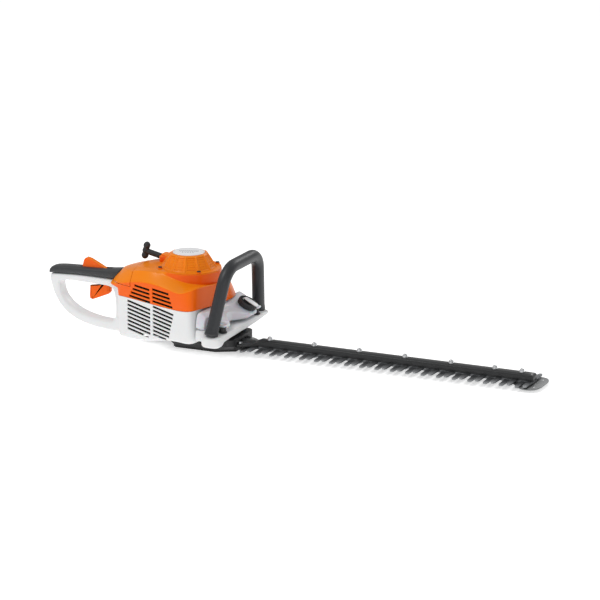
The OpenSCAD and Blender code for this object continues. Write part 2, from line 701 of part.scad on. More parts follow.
cable_route = [[-136.9, 8, 101], [-124, 12, 101], [-112, 24, 101], [-95, 36, 99], [-80, 45, 94],
  [-70, 47, 90], [-62.1, 47, 88]];
module throttle_cable() { color("#303336") sweep(cable_route, 1.5, 8, [0, 0, 1]); }
module stop_switch() {
  color("#202224") translate([-66, 60.6, 104]) rotate([-90, 0, 12]) {
    cylinder(r = 7, h = 3);
    at_z(-4) cylinder(r = 3, h = 4.1);
    translate([-6, -1.5, 2.9]) cube([12, 3, 5]);
  }
}

// ---- Front base, handle and tank ----
// Front view of the base: a low near foot, an arch and a raised far end
base_front = [[-base_y, foot_z], [-90, foot_z], [-90, base_z0], [11, base_z0], [base_y, base_z0 + 10],
  [base_y, base_z1], [-base_y, base_z1]];
function bolt_lift(s) = s > 0 ? 14 : 0;
module front_base() {
  color("#eceded") difference() {
    intersection() {
      at_z(foot_z) slab(base_x0, base_x1, base_y, base_z1 - foot_z, 8);
      rotate([90, 0, 90]) linear_extrude(200) polygon(base_front);
    }
    for (s = [-1, 1]) translate([foot_x, s * loop_foot_y, 20 + bolt_lift(s)]) {
      cylinder(r = 3, h = 40);
      cylinder(r = 6, h = 12);
    }
  }
}
module front_handle() {
  h_top = (loop_top_z - base_z1) / cos(loop_lean);
  loop = [[-loop_foot_y, -6], [-loop_top_y, h_top], [loop_top_y, h_top], [loop_foot_y, -6]];
  color("#232527") difference() {
    translate([foot_x, 0, base_z1]) rotate([0, loop_lean, 0])
      sweep(rounded([for (q = loop) [0, q[0], q[1]]], 30, 8), tube_d / 2, 32, [1, 0, 0]);
    translate([foot_x - 60, -200, base_z1 - 40]) cube([120, 400, 40]);
    for (s = [-1, 1]) translate([foot_x, s * loop_foot_y, 40]) cylinder(r = 3.3, h = 26 + bolt_lift(s));
  }
}
module handle_bolts() {
  color("silver") for (s = [-1, 1]) translate([foot_x, s * loop_foot_y, bolt_lift(s)]) {
    at_z(28) cylinder(r = 5, h = 4);
    at_z(32) cylinder(r = 3, h = 32);
  }
}
module av_buffers() {
  color("#303336") for (s = [-1, 1]) translate([104, s * 72, base_z1]) {
    cylinder(r = 8, h = 2);
    at_z(2) cylinder(r = 6, h = 8);
    at_z(10) cylinder(r = 7, h = 2);
  }
}
tank_side = [[60, 33], [60, 88], [66, 88], [112, 63.7], [112, 54], [72, 52], [72, 33]];
module fuel_tank() {
  color("#e3e1ea") difference() {
    union() {
      intersection() {
        side_plate(tank_side, 200);
        linear_extrude(120) polygon([[59, -95], [78, -95], [82, -80], [96, -62], [114, -58], [114, 58],
          [96, 62], [82, 80], [78, 90], [59, 90]]);
      }
      for (s = [-1, 1]) translate([84, s * 72 - 8, 62]) cube([28, 16, 4]);
      translate(cap_base) rotate([0, cap_tilt, 0]) at_z(-4) cylinder(r = 15, h = 5);
    }
    for (s = [-1, 1]) translate([95, s * 72 - 10, 40]) cube([20, 20, 22]);
    translate(cap_base) rotate([0, cap_tilt, 0]) at_z(-20) cylinder(r = 11, h = 40);
    translate([62.5, -90, 36]) cube([7, 176, 44]);
  }
}
module on_cap() { translate(cap_base) rotate([0, cap_tilt, 0]) children(); }
module fuel_cap() {
  color("#1c1e20") on_cap() difference() {
    union() { at_z(1.1) cylinder(r = cap_r, h = 10); at_z(-8) cylinder(r = 11 - run, h = 9.2); }
    at_z(8) ring(16, 14.5, 6);
    at_z(7.5) translate([-13.5, -3.2, 0]) cube([28, 6.4, 8]);
  }
}
module cap_wing() {
  color("#f0f0f0") on_cap() {
    at_z(8.4) translate([-9, -2.6, 0]) cube([22, 5.2, 4.6]);
    translate([-10.5, 2.6, 9.9]) rotate([90, 0, 0]) cylinder(r = 1.5, h = 5.2);
    at_z(8.8) translate([-10.5, -2.6, 0]) cube([3, 5.2, 2.2]);
  }
}
module housing_screws() {
  color("silver") for (a = [45 : 90 : 315]) rotate([0, 0, a]) translate([ear_r, 0, 0]) {
    at_z(deck_z + 3.6) cylinder(r = 3.6, h = 1.6);
    at_z(deck_z - 8) cylinder(r = 2, h = 11.6);
  }
}
gear_housing();
gear_cover();
cover_screws();
drum_bearing();
clutch_drum();
drive_gear();
lower_rod();
upper_rod();
lower_blade();
upper_blade();
guide_bar();
bar_bolts();
bar_nuts();
root_screws();
tip_guard();
crankcase();
crank_bearings();
crank_lower();
crank_upper();
clutch_hub();
flywheel();
ignition_module();
engine_cylinder();
piston();
piston_pin();
connecting_rod();
spark_plug();
plug_boot();
muffler();
carburetor();
intake_block();
air_filter();
choke_knob();
primer_bulb();
fuel_hose();
starter_pulley();
rope_coil();
rewind_spring();
starter_rope();
starter_grip();
fan_housing();
label_disc();
top_cover();
filter_cover();
lower_housing();
rear_handle();
handle_grip();
throttle_trigger();
lockout_lever();
handle_pins();
throttle_cable();
stop_switch();
front_base();
front_handle();
handle_bolts();
av_buffers();
fuel_tank();
fuel_cap();
cap_wing();
housing_screws();
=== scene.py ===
import math
import bmesh
import bpy
import numpy as np
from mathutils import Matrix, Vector


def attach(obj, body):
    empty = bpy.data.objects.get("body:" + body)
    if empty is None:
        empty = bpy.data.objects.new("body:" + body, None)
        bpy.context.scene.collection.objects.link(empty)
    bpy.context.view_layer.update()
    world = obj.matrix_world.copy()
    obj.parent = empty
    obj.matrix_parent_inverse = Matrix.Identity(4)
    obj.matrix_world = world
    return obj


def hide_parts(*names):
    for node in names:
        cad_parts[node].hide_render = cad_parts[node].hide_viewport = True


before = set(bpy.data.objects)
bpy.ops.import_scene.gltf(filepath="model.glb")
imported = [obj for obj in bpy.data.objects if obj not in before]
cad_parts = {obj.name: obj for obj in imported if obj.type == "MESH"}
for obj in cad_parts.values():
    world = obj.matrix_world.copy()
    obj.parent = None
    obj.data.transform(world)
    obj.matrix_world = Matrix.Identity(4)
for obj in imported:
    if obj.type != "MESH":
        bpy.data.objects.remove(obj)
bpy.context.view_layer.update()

# Blades: two ground steel combs that slide past each other, cut from sheet and ground
# on the flanks of every tooth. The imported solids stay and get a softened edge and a
# brushed steel finish that runs along the blade, darker and pitted between the teeth.


class Wire:
    """A socket that can be added, multiplied and so on; each operation becomes a Math node."""

    def __init__(self, finish, socket):
        self.finish, self.socket = finish, socket

    def math(self, operation, other=None, flip=False):
        pair = (other, self) if flip else (self, other)
        return self.finish.node("Math", {"operation": operation}, *[p for p in pair if p is not None])

    def __add__(self, other):
        return self.math("ADD", other)

    def __radd__(self, other):
        return self.math("ADD", other, True)

    def __sub__(self, other):
        return self.math("SUBTRACT", other)

    def __rsub__(self, other):
        return self.math("SUBTRACT", other, True)

    def __mul__(self, other):
        return self.math("MULTIPLY", other)

    def __rmul__(self, other):
        return self.math("MULTIPLY", other, True)

    def __gt__(self, other):
        return self.math("GREATER_THAN", other)

    def __lt__(self, other):
        return self.math("LESS_THAN", other)

    def band(self, low, high):
        """0 below low, 1 above high and smooth between them."""
        return self.finish.node("MapRange", {"interpolation_type": "SMOOTHSTEP"}, self, low, high, 0.0, 1.0)

    def split(self):
        part = self.finish.tree.nodes.new("ShaderNodeSeparateXYZ")
        self.finish.tree.links.new(self.socket, part.inputs[0])
        return [Wire(self.finish, s) for s in part.outputs]


class Finish:
    """A procedural material on object coordinates, in metres."""

    def __init__(self, name, **uniform):
        self.material = bpy.data.materials.new(name)
        self.material.use_nodes = True
        self.tree = self.material.node_tree
        self.shader = self.tree.nodes["Principled BSDF"]
        self.place = Wire(self, self.tree.nodes.new("ShaderNodeTexCoord").outputs["Object"])
        for name, value in uniform.items():
            self.put(self.shader.inputs[name.replace("_", " ")], value)

    def put(self, socket, value):
        if isinstance(value, Wire):
            self.tree.links.new(value.socket, socket)
        else:
            socket.default_value = value

    def node(self, kind, settings, *values, out=0, **named):
        """Adds a shader node of that kind; values fill its inputs in order, named ones by name."""
        node = self.tree.nodes.new("ShaderNode" + kind)
        for key, value in settings.items():
            setattr(node, key, value)
        for socket, value in zip(node.inputs, values):
            self.put(socket, value)
        for name, value in named.items():
            self.put(node.inputs[name], value)
        return Wire(self, node.outputs[out])

    def noise(self, scale, detail=3.0, stretch=None):
        place = self.place
        if stretch:
            place = self.node("VectorMath", {"operation": "MULTIPLY"}, place, stretch)
        return self.node("TexNoise", {}, Vector=place, Scale=scale, Detail=detail)

    def mix(self, amount, a, b):
        """Colour a at amount 0, colour b at 1."""
        node = self.tree.nodes.new("ShaderNodeMix")
        node.data_type = "RGBA"
        for index, value in ((0, amount), (6, a), (7, b)):
            self.put(node.inputs[index], value)
        return Wire(self, node.outputs[2])

    def set(self, **links):
        for name, value in links.items():
            self.put(self.shader.inputs[name.replace("_", " ")], value)

    def relief(self, height, distance, strength=1.0):
        """Bump from a height wire, distance in metres."""
        self.set(Normal=self.node("Bump", {}, Strength=strength, Distance=distance, Height=height))
        return self.material


def srgb(r, g, b):
    """Linear colour from the 0 to 255 numbers of a colour picker."""
    return tuple((c / 3294.6 if c <= 10.31 else ((c / 255 + 0.055) / 1.055) ** 2.4)
                 for c in (r, g, b)) + (1.0,)


def dress(material, *nodes, edge=0.0):
    """Gives CAD nodes a material and, where edge is set, a rounded edge of that many millimetres."""
    for name in nodes:
        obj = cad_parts[name]
        for entry in obj.material_slots:
            entry.material = material
        if edge:
            soften(obj, edge)


def soften(obj, width, angle=32):
    """Rounds the edges that turn more than angle degrees; width in millimetres."""
    bevel = obj.modifiers.new("rounded_edges", "BEVEL")
    bevel.width, bevel.segments = width / 1000, 2
    bevel.limit_method, bevel.angle_limit = "ANGLE", math.radians(angle)
    bevel.harden_normals = False


steel = Finish("ground_steel", Metallic=0.85)
streak = steel.noise(700.0, 4.0, (0.15, 1.0, 1.0))
blotch = steel.noise(60.0, 4.0)
away = steel.place.split()[1].math("ABSOLUTE")
ground = away.band(0.030, 0.044)
tone = steel.mix(streak.band(0.3, 0.7), srgb(88, 90, 93), srgb(128, 130, 132))
tone = steel.mix(ground * 0.6, tone, srgb(172, 174, 176))
tone = steel.mix(blotch.band(0.55, 0.8) * 0.5, tone, srgb(84, 84, 84))
steel.set(Base_Color=tone, Roughness=0.30 + streak * 0.22 + blotch * 0.1)
steel.relief(streak * 0.5 + blotch * 0.5, 0.00012, 0.5)
dress(steel.material, "upper_blade", "lower_blade", edge=0.35)

# Guide bar: a black painted steel bar with a low crown and a flange that widens at the
# gearbox. It is one lofted solid, smooth along its length, with a faint orange-peel
# paint and bare worn metal along the crown.

MM = 0.001


def faces_of(rows, cols, wrap=True, caps=True):
    """Quads of a rows by cols grid whose rows close on themselves, with one polygon at each end."""
    r, c = np.meshgrid(np.arange(rows - 1), np.arange(cols if wrap else cols - 1), indexing="ij")
    right = (c + 1) % cols
    quads = np.stack([r * cols + c, r * cols + right, (r + 1) * cols + right, (r + 1) * cols + c], -1)
    faces = quads.reshape(-1, 4).tolist()
    if caps:
        faces.append(list(range(cols))[::-1])
        faces.append(list(range((rows - 1) * cols, rows * cols)))
    return faces


def piece(name, points, faces, material, body="machine", stands_for=(), crisp=40):
    """One object from points in millimetres; edges sharper than crisp degrees stay sharp."""
    mesh = bpy.data.meshes.new(name)
    mesh.from_pydata((np.asarray(points, float).reshape(-1, 3) * MM).tolist(), [], faces)
    mesh.materials.append(material)
    mesh.polygons.foreach_set("use_smooth", [True] * len(mesh.polygons))
    mesh.set_sharp_from_angle(angle=math.radians(crisp))
    mesh.update()
    obj = bpy.data.objects.new(name, mesh)
    bpy.context.scene.collection.objects.link(obj)
    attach(obj, body)
    if stands_for:
        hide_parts(*stands_for)
    return obj


def spline(points, count, closed=True):
    """Uniform cubic B-spline: each new point is the weighted mean of four neighbours in the first axis.
    An open one starts and ends on its end points."""
    p = np.asarray(points, float)
    if not closed:
        p = np.concatenate([2 * p[:1] - p[1:2], p, 2 * p[-1:] - p[-2:-1]])
    spans = len(p) if closed else len(p) - 3
    t = np.linspace(0, spans, count, endpoint=not closed)
    i = np.minimum(t.astype(int), spans - 1)
    f = (t - i).reshape((-1,) + (1,) * (p.ndim - 1))
    weights = ((1 - f) ** 3 / 6, (3 * f ** 3 - 6 * f ** 2 + 4) / 6,
               (-3 * f ** 3 + 3 * f ** 2 + 3 * f + 1) / 6, f ** 3 / 6)
    shift = -1 if closed else 0
    return sum(w * p[(i + k + shift) % len(p)] for k, w in enumerate(weights))


def between(x, xs, ys):
    return np.interp(x, xs, ys)


paint = Finish("black_paint", Coat_Weight=0.15)
peel = paint.noise(2200.0, 2.0)
worn = paint.noise(120.0, 5.0)
height = paint.place.split()[2]
rub = height.band(0.0252, 0.0262) * worn.band(0.56, 0.66)
paint.set(Base_Color=paint.mix(rub * 0.5, paint.mix(worn, srgb(16, 17, 19), srgb(30, 32, 34)),
                               srgb(120, 122, 124)),
          Roughness=0.36 + worn * 0.2, Metallic=rub * 0.6)
paint.relief(peel, 0.00006, 0.6)

bar_x = np.concatenate([np.linspace(104, 112, 3), np.linspace(112.3, 152, 30), np.linspace(160, 680, 60),
                        [684, 686.4, 687]])
half = between(bar_x, [104, 112, 112.3, 122, 130, 138, 145, 152, 684, 687],
               [10.9, 10.9, 29.5, 28, 22, 15.5, 12, 11, 11, 9.4])
rise = between(bar_x, [104, 112, 130, 150, 676, 684, 687], [3.0, 3.0, 3.0, 3.0, 3.0, 1.4, 0.0])
edge_z = between(bar_x, [104, 112, 138, 150, 684, 687], [17.4, 17.4, 18.0, 23.2, 23.2, 21.0])
section = []
for y, lift in [(-1.0, 0.0), (-1.0, 0.92), (-0.97, 1.0), (-0.9, 1.04)]:
    section.append(np.stack([bar_x, half * y, 12.9 + (edge_z - 12.9) * lift], -1))
for y, lift in [(-9.4, 0.0), (-8.0, 0.5), (-6.0, 0.8), (-3.0, 1.0), (0.0, 1.05), (3.0, 1.0), (6.0, 0.8),
                (8.0, 0.5), (9.4, 0.0)]:
    section.append(np.stack([bar_x, np.full_like(bar_x, y),
                             np.maximum(edge_z + 0.45, 19.8) + rise * lift * 0.6], -1))
for y, lift in [(0.9, 1.04), (0.97, 1.0), (1.0, 0.92), (1.0, 0.0)]:
    section.append(np.stack([bar_x, half * y, 12.9 + (edge_z - 12.9) * lift], -1))
bar = np.stack(section, 1)[:, ::-1]
piece("guide_bar_body", bar, faces_of(len(bar_x), bar.shape[1]), paint.material,
      stands_for=["guide_bar"], crisp=60)

# Bar bolts: seven zinc-plated domed nuts, each on a flat washer, that clamp the blades
# under the bar. Each is a lathed profile with a washer flange, a short neck and a domed
# end, bright and lightly scratched.


def lathe(profile, count=48, flats=None):
    """Points (rows, count, 3) of a profile of (radius, height) pairs turned about Z.
    flats(angle, row) scales the radius."""
    a = np.linspace(0, 2 * np.pi, count, endpoint=False)
    p = np.asarray(profile, float)
    scale = np.ones((len(p), count)) if flats is None else flats(a[None, :], np.arange(len(p))[:, None])
    return np.stack([p[:, :1] * scale * np.cos(a), p[:, :1] * scale * np.sin(a),
                     np.repeat(p[:, 1:], count, 1)], -1)


def repeated(points, faces, offsets):
    """The same solid at several offsets, as one set of points and faces."""
    flat = points.reshape(-1, 3)
    every = np.concatenate([flat + o for o in np.asarray(offsets, float)])
    return every, [[v + k * len(flat) for v in f] for k in range(len(offsets)) for f in faces]


zinc = Finish("bright_zinc", Metallic=0.95)
haze = zinc.noise(300.0, 4.0)
scratch = zinc.noise(1500.0, 2.0, (1.0, 0.08, 1.0))
zinc.set(Base_Color=zinc.mix(haze, srgb(176, 178, 180), srgb(214, 215, 216)), Roughness=0.2 + haze * 0.2)
zinc.relief(scratch, 0.00005, 0.4)

nut = [(2.6, 3.0), (2.9, 3.0), (2.9, 23.4), (5.4, 23.5), (5.6, 24.0), (5.6, 26.2), (5.3, 26.5), (4.6, 26.6),
       (4.5, 28.0), (4.2, 29.4), (3.4, 30.6), (2.2, 31.2), (1.0, 31.4), (0.2, 31.4)]
points = lathe(nut, 40)
points, faces = repeated(points, faces_of(len(nut), 40),
                         [(x, 0, 0) for x in (166.5, 256.5, 346.5, 436.5, 526.5, 610.5, 662)])
piece("bar_nuts_top", points, faces, zinc.material, stands_for=["bar_bolts"])
dress(zinc.material, "root_screws", "handle_bolts", edge=0.3)

# Tip guard: a stamped steel plate under the end of the bar that keeps the teeth off the
# ground. Its outline is a rounded paddle with a rolled rim, two rivets and a dull grey
# zinc finish with fine scuffs.


def outline_normals(curve):
    """Outward unit normals of a closed anticlockwise curve in the plane."""
    step = np.roll(curve, -1, 0) - np.roll(curve, 1, 0)
    step /= np.linalg.norm(step, axis=1, keepdims=True)
    return np.stack([step[:, 1], -step[:, 0]], -1)


def cushion(curve, low, high, r, steps=4):
    """Rows of a plate with rounded rims: the curve moves inwards by r(1 - sin a)
    while the height rises by r(1 - cos a)."""
    n = outline_normals(curve)
    a = np.linspace(0, np.pi / 2, steps + 1)
    rows = [(r * (1 - np.sin(t)), low + r * (1 - np.cos(t))) for t in a]
    rows += [(r * (1 - np.sin(t)), high - r * (1 - np.cos(t))) for t in a[::-1]]
    return np.stack([np.column_stack([curve - n * d, np.full(len(curve), z)]) for d, z in rows])


dull = Finish("dull_zinc", Metallic=0.8)
cloud = dull.noise(90.0, 5.0)
scuff = dull.noise(500.0, 3.0, (1.0, 0.2, 1.0))
dull.set(Base_Color=dull.mix(cloud, srgb(118, 120, 121), srgb(150, 151, 151)), Roughness=0.42 + cloud * 0.2)
dull.relief(scuff * 0.6 + cloud * 0.4, 0.00012, 0.6)

half_guard = [(648, -13), (654, -19), (664, -31), (674, -41), (681, -43.2), (690, -42.6), (699, -38.5),
              (704, -29), (706.6, -14)]
guard = spline(np.array(half_guard + [(x, -y) for x, y in half_guard[::-1]]), 120)
guard[:, 0] = np.minimum(guard[:, 0], 705.9)
piece("tip_guard_plate", cushion(guard, 4.85, 7.25, 1.1), faces_of(10, 120), dull.material,
      stands_for=["tip_guard"])
rivet = [(0.3, 7.2), (3.4, 7.2), (3.3, 7.26), (2.6, 7.29), (0.3, 7.3)]
points, faces = repeated(lathe(rivet, 24), faces_of(5, 24), [(692, 24, 0), (692, -24, 0)])
piece("guard_rivets", points, faces, zinc.material)

# Gearbox, its cover and the drive train: a black cast magnesium box with machined steel
# gears, eccentrics and rods inside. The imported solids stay; the castings get a fine
# sand-cast grain and softened edges.

cast = Finish("black_casting", Coat_Weight=0.05)
sand = cast.noise(1400.0, 3.0)
patch = cast.noise(70.0, 4.0)
cast.set(Base_Color=cast.mix(patch, srgb(14, 15, 16), srgb(28, 29, 31)), Roughness=0.5 + patch * 0.18)
cast.relief(sand * 0.7 + patch * 0.3, 0.0002, 0.7)
dress(cast.material, "gear_housing", "gear_cover", edge=0.8)
dress(cast.material, "housing_screws", edge=0.3)

machined = Finish("machined_steel", Metallic=0.9)
turned = machined.noise(600.0, 3.0)
oil = machined.noise(40.0, 3.0)
machined.set(Base_Color=machined.mix(oil, srgb(120, 122, 126), srgb(168, 170, 172)),
             Roughness=0.25 + turned * 0.2)
machined.relief(turned, 0.00004, 0.5)
dress(machined.material, "drive_gear", "clutch_drum", "lower_rod", "upper_rod", "crank_lower",
      "crank_upper", "connecting_rod",
      "piston_pin", "handle_pins", "crank_bearings", "drum_bearing", "rewind_spring", "bar_nuts",
      "cover_screws", edge=0.15)

# Engine and fuel system: cast alloy crankcase, finned cylinder, flywheel fan, muffler,
# carburetor and their small parts, mostly hidden by the covers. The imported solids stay,
# each group with its own cast, burnt, rubber or ceramic finish.

alloy = Finish("cast_alloy_grain", Metallic=0.75)
grit = alloy.noise(900.0, 4.0)
stain = alloy.noise(50.0, 4.0)
alloy.set(Base_Color=alloy.mix(stain, srgb(150, 152, 155), srgb(188, 190, 192)),
          Roughness=0.42 + stain * 0.2)
alloy.relief(grit, 0.0002, 0.6)
dress(alloy.material, "crankcase", "engine_cylinder", "piston", "flywheel", "carburetor", "clutch_hub",
      edge=0.4)

burnt = Finish("burnt_sheet", Metallic=0.6)
flame = burnt.noise(35.0, 5.0)
burnt.set(Base_Color=burnt.mix(flame, srgb(60, 56, 52), srgb(104, 96, 88)), Roughness=0.5 + flame * 0.2)
burnt.relief(flame, 0.0003, 0.5)
dress(burnt.material, "muffler", edge=1.5)

glaze = Finish("glazed_ceramic", Roughness=0.15)
speck = glaze.noise(400.0, 3.0)
glaze.set(Base_Color=glaze.mix(speck, srgb(226, 226, 220), srgb(238, 238, 234)))
dress(glaze.relief(speck, 0.00003, 0.4), "spark_plug", edge=0.3)

rubber = Finish("soft_rubber")
matt = rubber.noise(700.0, 4.0)
rubber.set(Base_Color=rubber.mix(matt, srgb(34, 35, 37), srgb(52, 53, 55)), Roughness=0.62 + matt * 0.15)
rubber.relief(matt, 0.00015, 0.6)
dress(rubber.material, "plug_boot", "av_buffers", "throttle_cable", "fuel_hose", "intake_block", edge=0.5)

fleece = Finish("pleated_fleece", Roughness=0.95, Sheen_Weight=0.4)
fibre = fleece.noise(1200.0, 5.0)
pleat = fleece.node("TexWave", {"wave_type": "BANDS", "bands_direction": "X"}, Vector=fleece.place,
                    Scale=60.0, out=1)
fleece.set(Base_Color=fleece.mix(fibre, srgb(196, 186, 152), srgb(222, 214, 186)))
dress(fleece.relief(pleat * 0.8 + fibre * 0.2, 0.002, 0.8), "air_filter")

braid = Finish("braided_rope", Roughness=0.8, Sheen_Weight=0.2)
cross = braid.node("TexWave", {"wave_type": "BANDS", "bands_direction": "DIAGONAL"}, Vector=braid.place,
                   Scale=260.0, out=1)
braid.set(Base_Color=braid.mix(cross, srgb(190, 187, 178), srgb(232, 230, 224)))
dress(braid.relief(cross, 0.0004, 0.8), "rope_coil", "starter_rope")

# Small controls: starter pulley and ignition module in black plastic, and the choke
# knob, stop switch and primer bulb on the far side, moulded with rounded grips and
# fixed on shafts through the housing wall.

grain = Finish("black_moulding")
leather = grain.noise(1500.0, 3.0)
shade = grain.noise(60.0, 4.0)
grain.set(Base_Color=grain.mix(shade, srgb(22, 23, 25), srgb(38, 40, 42)), Roughness=0.42 + shade * 0.15)
grain.relief(leather, 0.00018, 0.7)
dress(grain.material, "starter_pulley", "ignition_module", edge=0.4)


def placed(points, origin, turn_z=0.0, turn_y=0.0):
    """Turns points by turn_y about Y, then turn_z about Z, in degrees, and moves them to origin."""
    x, y, z = np.moveaxis(np.asarray(points, float), -1, 0)
    a, b = math.radians(turn_y), math.radians(turn_z)
    x, z = x * math.cos(a) + z * math.sin(a), z * math.cos(a) - x * math.sin(a)
    x, y = x * math.cos(b) - y * math.sin(b), x * math.sin(b) + y * math.cos(b)
    return np.stack([x, y, z], -1) + np.asarray(origin, float)


def outwards(points):
    """Lathe or plate standing on the far wall: its Z becomes +Y."""
    p = np.asarray(points, float)
    return np.stack([p[..., 0], p[..., 2], -p[..., 1]], -1)


def join(*solids):
    """One list of points and faces from several (points, faces) pairs."""
    every, faces, start = [], [], 0
    for points, some in solids:
        flat = np.asarray(points, float).reshape(-1, 3)
        every.append(flat)
        faces += [[v + start for v in f] for f in some]
        start += len(flat)
    return np.concatenate(every), faces


def ribbed(count, depth, first, last):
    """Flats function for lathe: shallow round ribs on rows first to last."""
    return lambda a, row: 1 - depth * np.where((row >= first) & (row <= last),
                                               0.5 + 0.5 * np.cos(count * a), 0.0)


def bar_on_top(length, width, low, high, r):
    a = np.linspace(0, 2 * np.pi, 48, endpoint=False)
    c, s = np.cos(a), np.sin(a)
    curve = np.stack([np.sign(c) * np.abs(c) ** 0.5 * length / 2,
                      np.sign(s) * np.abs(s) ** 0.5 * width / 2], -1)
    return cushion(curve, low, high, r), faces_of(10, 48)


knob = [(3.0, -13.8), (3.0, -0.2), (3.1, 0), (9.2, 0), (9.9, 0.5), (9.9, 4.6), (9.2, 5.6), (8.0, 5.95),
        (0.3, 5.95)]
shape = join((lathe(knob, 72, ribbed(24, 0.05, 4, 6)), faces_of(9, 72)),
             bar_on_top(17.6, 4.2, 5.5, 9.8, 1.2))
piece("choke_knob_cap", placed(outwards(shape[0]), (-100, 54.6, 104), 12), shape[1], grain.material,
      "choke",
      ["choke_knob"])
button = [(3.0, -3.9), (3.0, -0.2), (3.1, 0), (6.5, 0), (6.9, 0.4), (6.9, 2.3), (6.4, 2.9), (0.3, 2.95)]
shape = join((lathe(button, 48), faces_of(8, 48)), bar_on_top(11.6, 3.2, 2.6, 7.7, 1.0))
piece("stop_switch_cap", placed(outwards(shape[0]), (-66, 60.6, 104), 12), shape[1], grain.material, "stop",
      ["stop_switch"])

smoky = Finish("smoky_bulb", Roughness=0.25, Subsurface_Weight=0.25)
cloudy = smoky.noise(150.0, 3.0)
smoky.set(Base_Color=smoky.mix(cloudy, srgb(108, 112, 114), srgb(132, 136, 138)))
smoky.relief(cloudy, 0.00008, 0.4)
bulb_at = np.array([-119 + 110 * math.cos(math.radians(10.7)), 50 + 110 * math.sin(math.radians(10.7)),
                    60.0])
arc = np.radians(np.linspace(0, 86, 14))
dome = [(8.4, -5.4), (10.6, -5.4), (10.9, -5.0), (10.9, -0.2)]
dome += [(10.9 * math.cos(a) ** 0.9, 8.8 * math.sin(a)) for a in arc]
piece("primer_dome", placed(outwards(lathe(dome, 48)), bulb_at + [-0.09, 0.49, 0], 10.7),
      faces_of(len(dome), 48), smoky.material, "primer",
      ["primer_bulb"])

# Fan housing: the orange recoil starter cover over the flywheel, a moulded cone with
# twelve raised ribs, stepped louvres between them, a block for the rope outlet and
# four screw ears. Glossy orange polyamide with a fine moulded texture and a painted highlight: upward faces
# are lighter and more golden.

orange = Finish("orange_polyamide", Coat_Weight=0.12, Coat_Roughness=0.08, Coat_IOR=1.35,
                Specular_IOR_Level=0.16)
fine = orange.noise(2400.0, 2.0)
cloud = orange.noise(25.0, 4.0)
dust = orange.noise(320.0, 5.0)
# Painted highlight: faces turned upwards are mixed lighter and more golden, standing in for the light from
# above.
painted_highlight_facing = Wire(orange, orange.tree.nodes.new("ShaderNodeTexCoord").outputs["Normal"]).split()[2]
tone = orange.mix(cloud, srgb(238, 92, 0), srgb(242, 100, 0))
tone = orange.mix(painted_highlight_facing.band(0.02, 0.62), tone, srgb(246, 136, 14))
tone = orange.mix(dust.band(0.62, 0.8) * 0.25, tone, srgb(226, 92, 0))
orange.set(Base_Color=tone, Roughness=0.27 + cloud * 0.1 + dust * 0.06)
orange.relief(fine * 0.6 + dust * 0.4, 0.00008, 0.6)

turn = np.linspace(0, 2 * np.pi, 720, endpoint=False)
levels = np.linspace(0, 1, 92)
cone_z = 148.4 + levels * 26.8
cone_r = between(cone_z, [148.4, 152, 160, 168, 173, 175.2], [51.4, 48.8, 43.9, 38.8, 35.6, 33.2])
phase = np.degrees(turn)[None, :] + 72
slot_phase = np.abs((phase + 15) % 30 - 15)
rib = np.exp(-(slot_phase / 1.7) ** 2)
edge_in = np.clip((slot_phase - 4.0) / 1.2, 0, 1)
lath = 0.5 - 0.5 * np.sign(np.sin(levels[:, None] * 2 * np.pi * 6.5))
window = (np.clip((levels - 0.08) / 0.03, 0, 1) * np.clip((0.9 - levels) / 0.03, 0, 1))[:, None]
cone = cone_r[:, None] + 1.5 * rib - 0.55 * edge_in * window - 0.85 * edge_in * lath * window
rim = [(46, 147.05), (60.2, 147.05), (60.9, 147.4), (60.9, 147.9), (60.4, 148.3), (54.2, 148.35),
       (52.4, 148.36), (51.9, 148.38)]
cap = [(32.6, 175.4), (31.6, 175.6), (30.6, 175.5), (30.2, 175.0), (28.0, 174.9)]
rows = [np.full(720, r) for r, z in rim] + list(cone) + [np.full(720, r) for r, z in cap]
heights = [z for r, z in rim] + list(cone_z) + [z for r, z in cap]
radii = np.stack(rows)
heights = np.repeat(np.array(heights)[:, None], 720, 1)
shell = np.stack([radii * np.cos(turn), radii * np.sin(turn), heights], -1)
ear = [(0.9, 147.5), (4.2, 147.5), (4.2, 150.0), (3.9, 150.55), (3.6, 150.6), (1.9, 150.6), (1.7, 150.2)]
points, faces = repeated(lathe(ear, 32), faces_of(len(ear), 32),
                         [(56.6 * math.cos(a), 56.6 * math.sin(a), 0)
                          for a in np.radians([45, 135, 225, 315])])
points, faces = join((shell, faces_of(len(radii), 720)), (points, faces))
piece("recoil_cover", points, faces, orange.material, stands_for=["fan_housing"],
      crisp=28)


def on_rope(points):
    """Local Z runs along the rope, from its outlet to the grip; X points up."""
    return placed(points, (-62.3, 18, 155.2), 0, 12.5 - 90)


def block(x, y, z, power=5.0, rows=14, cols=56):
    """Closed rounded block: the superellipsoid |x|^p + |y|^p + |z|^p = 1 scaled to the box."""
    u = np.linspace(-np.pi / 2, np.pi / 2, rows + 2)[1:-1]
    v = np.linspace(0, 2 * np.pi, cols, endpoint=False)
    power_of = lambda w: np.sign(w) * np.abs(w) ** (2 / power)
    flat = power_of(np.cos(u))[:, None]
    unit = np.stack([flat * power_of(np.cos(v)), flat * power_of(np.sin(v)),
                     np.repeat(power_of(np.sin(u))[:, None], cols, 1)], -1)
    low, high = np.array([x[0], y[0], z[0]], float), np.array([x[1], y[1], z[1]], float)
    return (low + high) / 2 + unit * (high - low) / 2, faces_of(rows, cols)


outlet = block((-8.0, 9.5), (-10.5, 10.5), (-30, 2.0), 7.0)
skirt = block((-66.5, -40), (7.0, 29.0), (147.2, 160), 7.0)
lip = lathe([(3.2, 1.5), (4.8, 1.8), (5.6, 2.6), (5.4, 3.5), (4.2, 3.9), (3.0, 3.4)], 40)
points, faces = join((on_rope(outlet[0]), outlet[1]), (on_rope(lip), faces_of(6, 40)), skirt)
piece("rope_outlet", points, faces, orange.material)

# Label disc: a plain white domed cap glued on top of the recoil cover, with a faint
# grey printed ring and two generic rows of slanted dashes instead of any lettering.

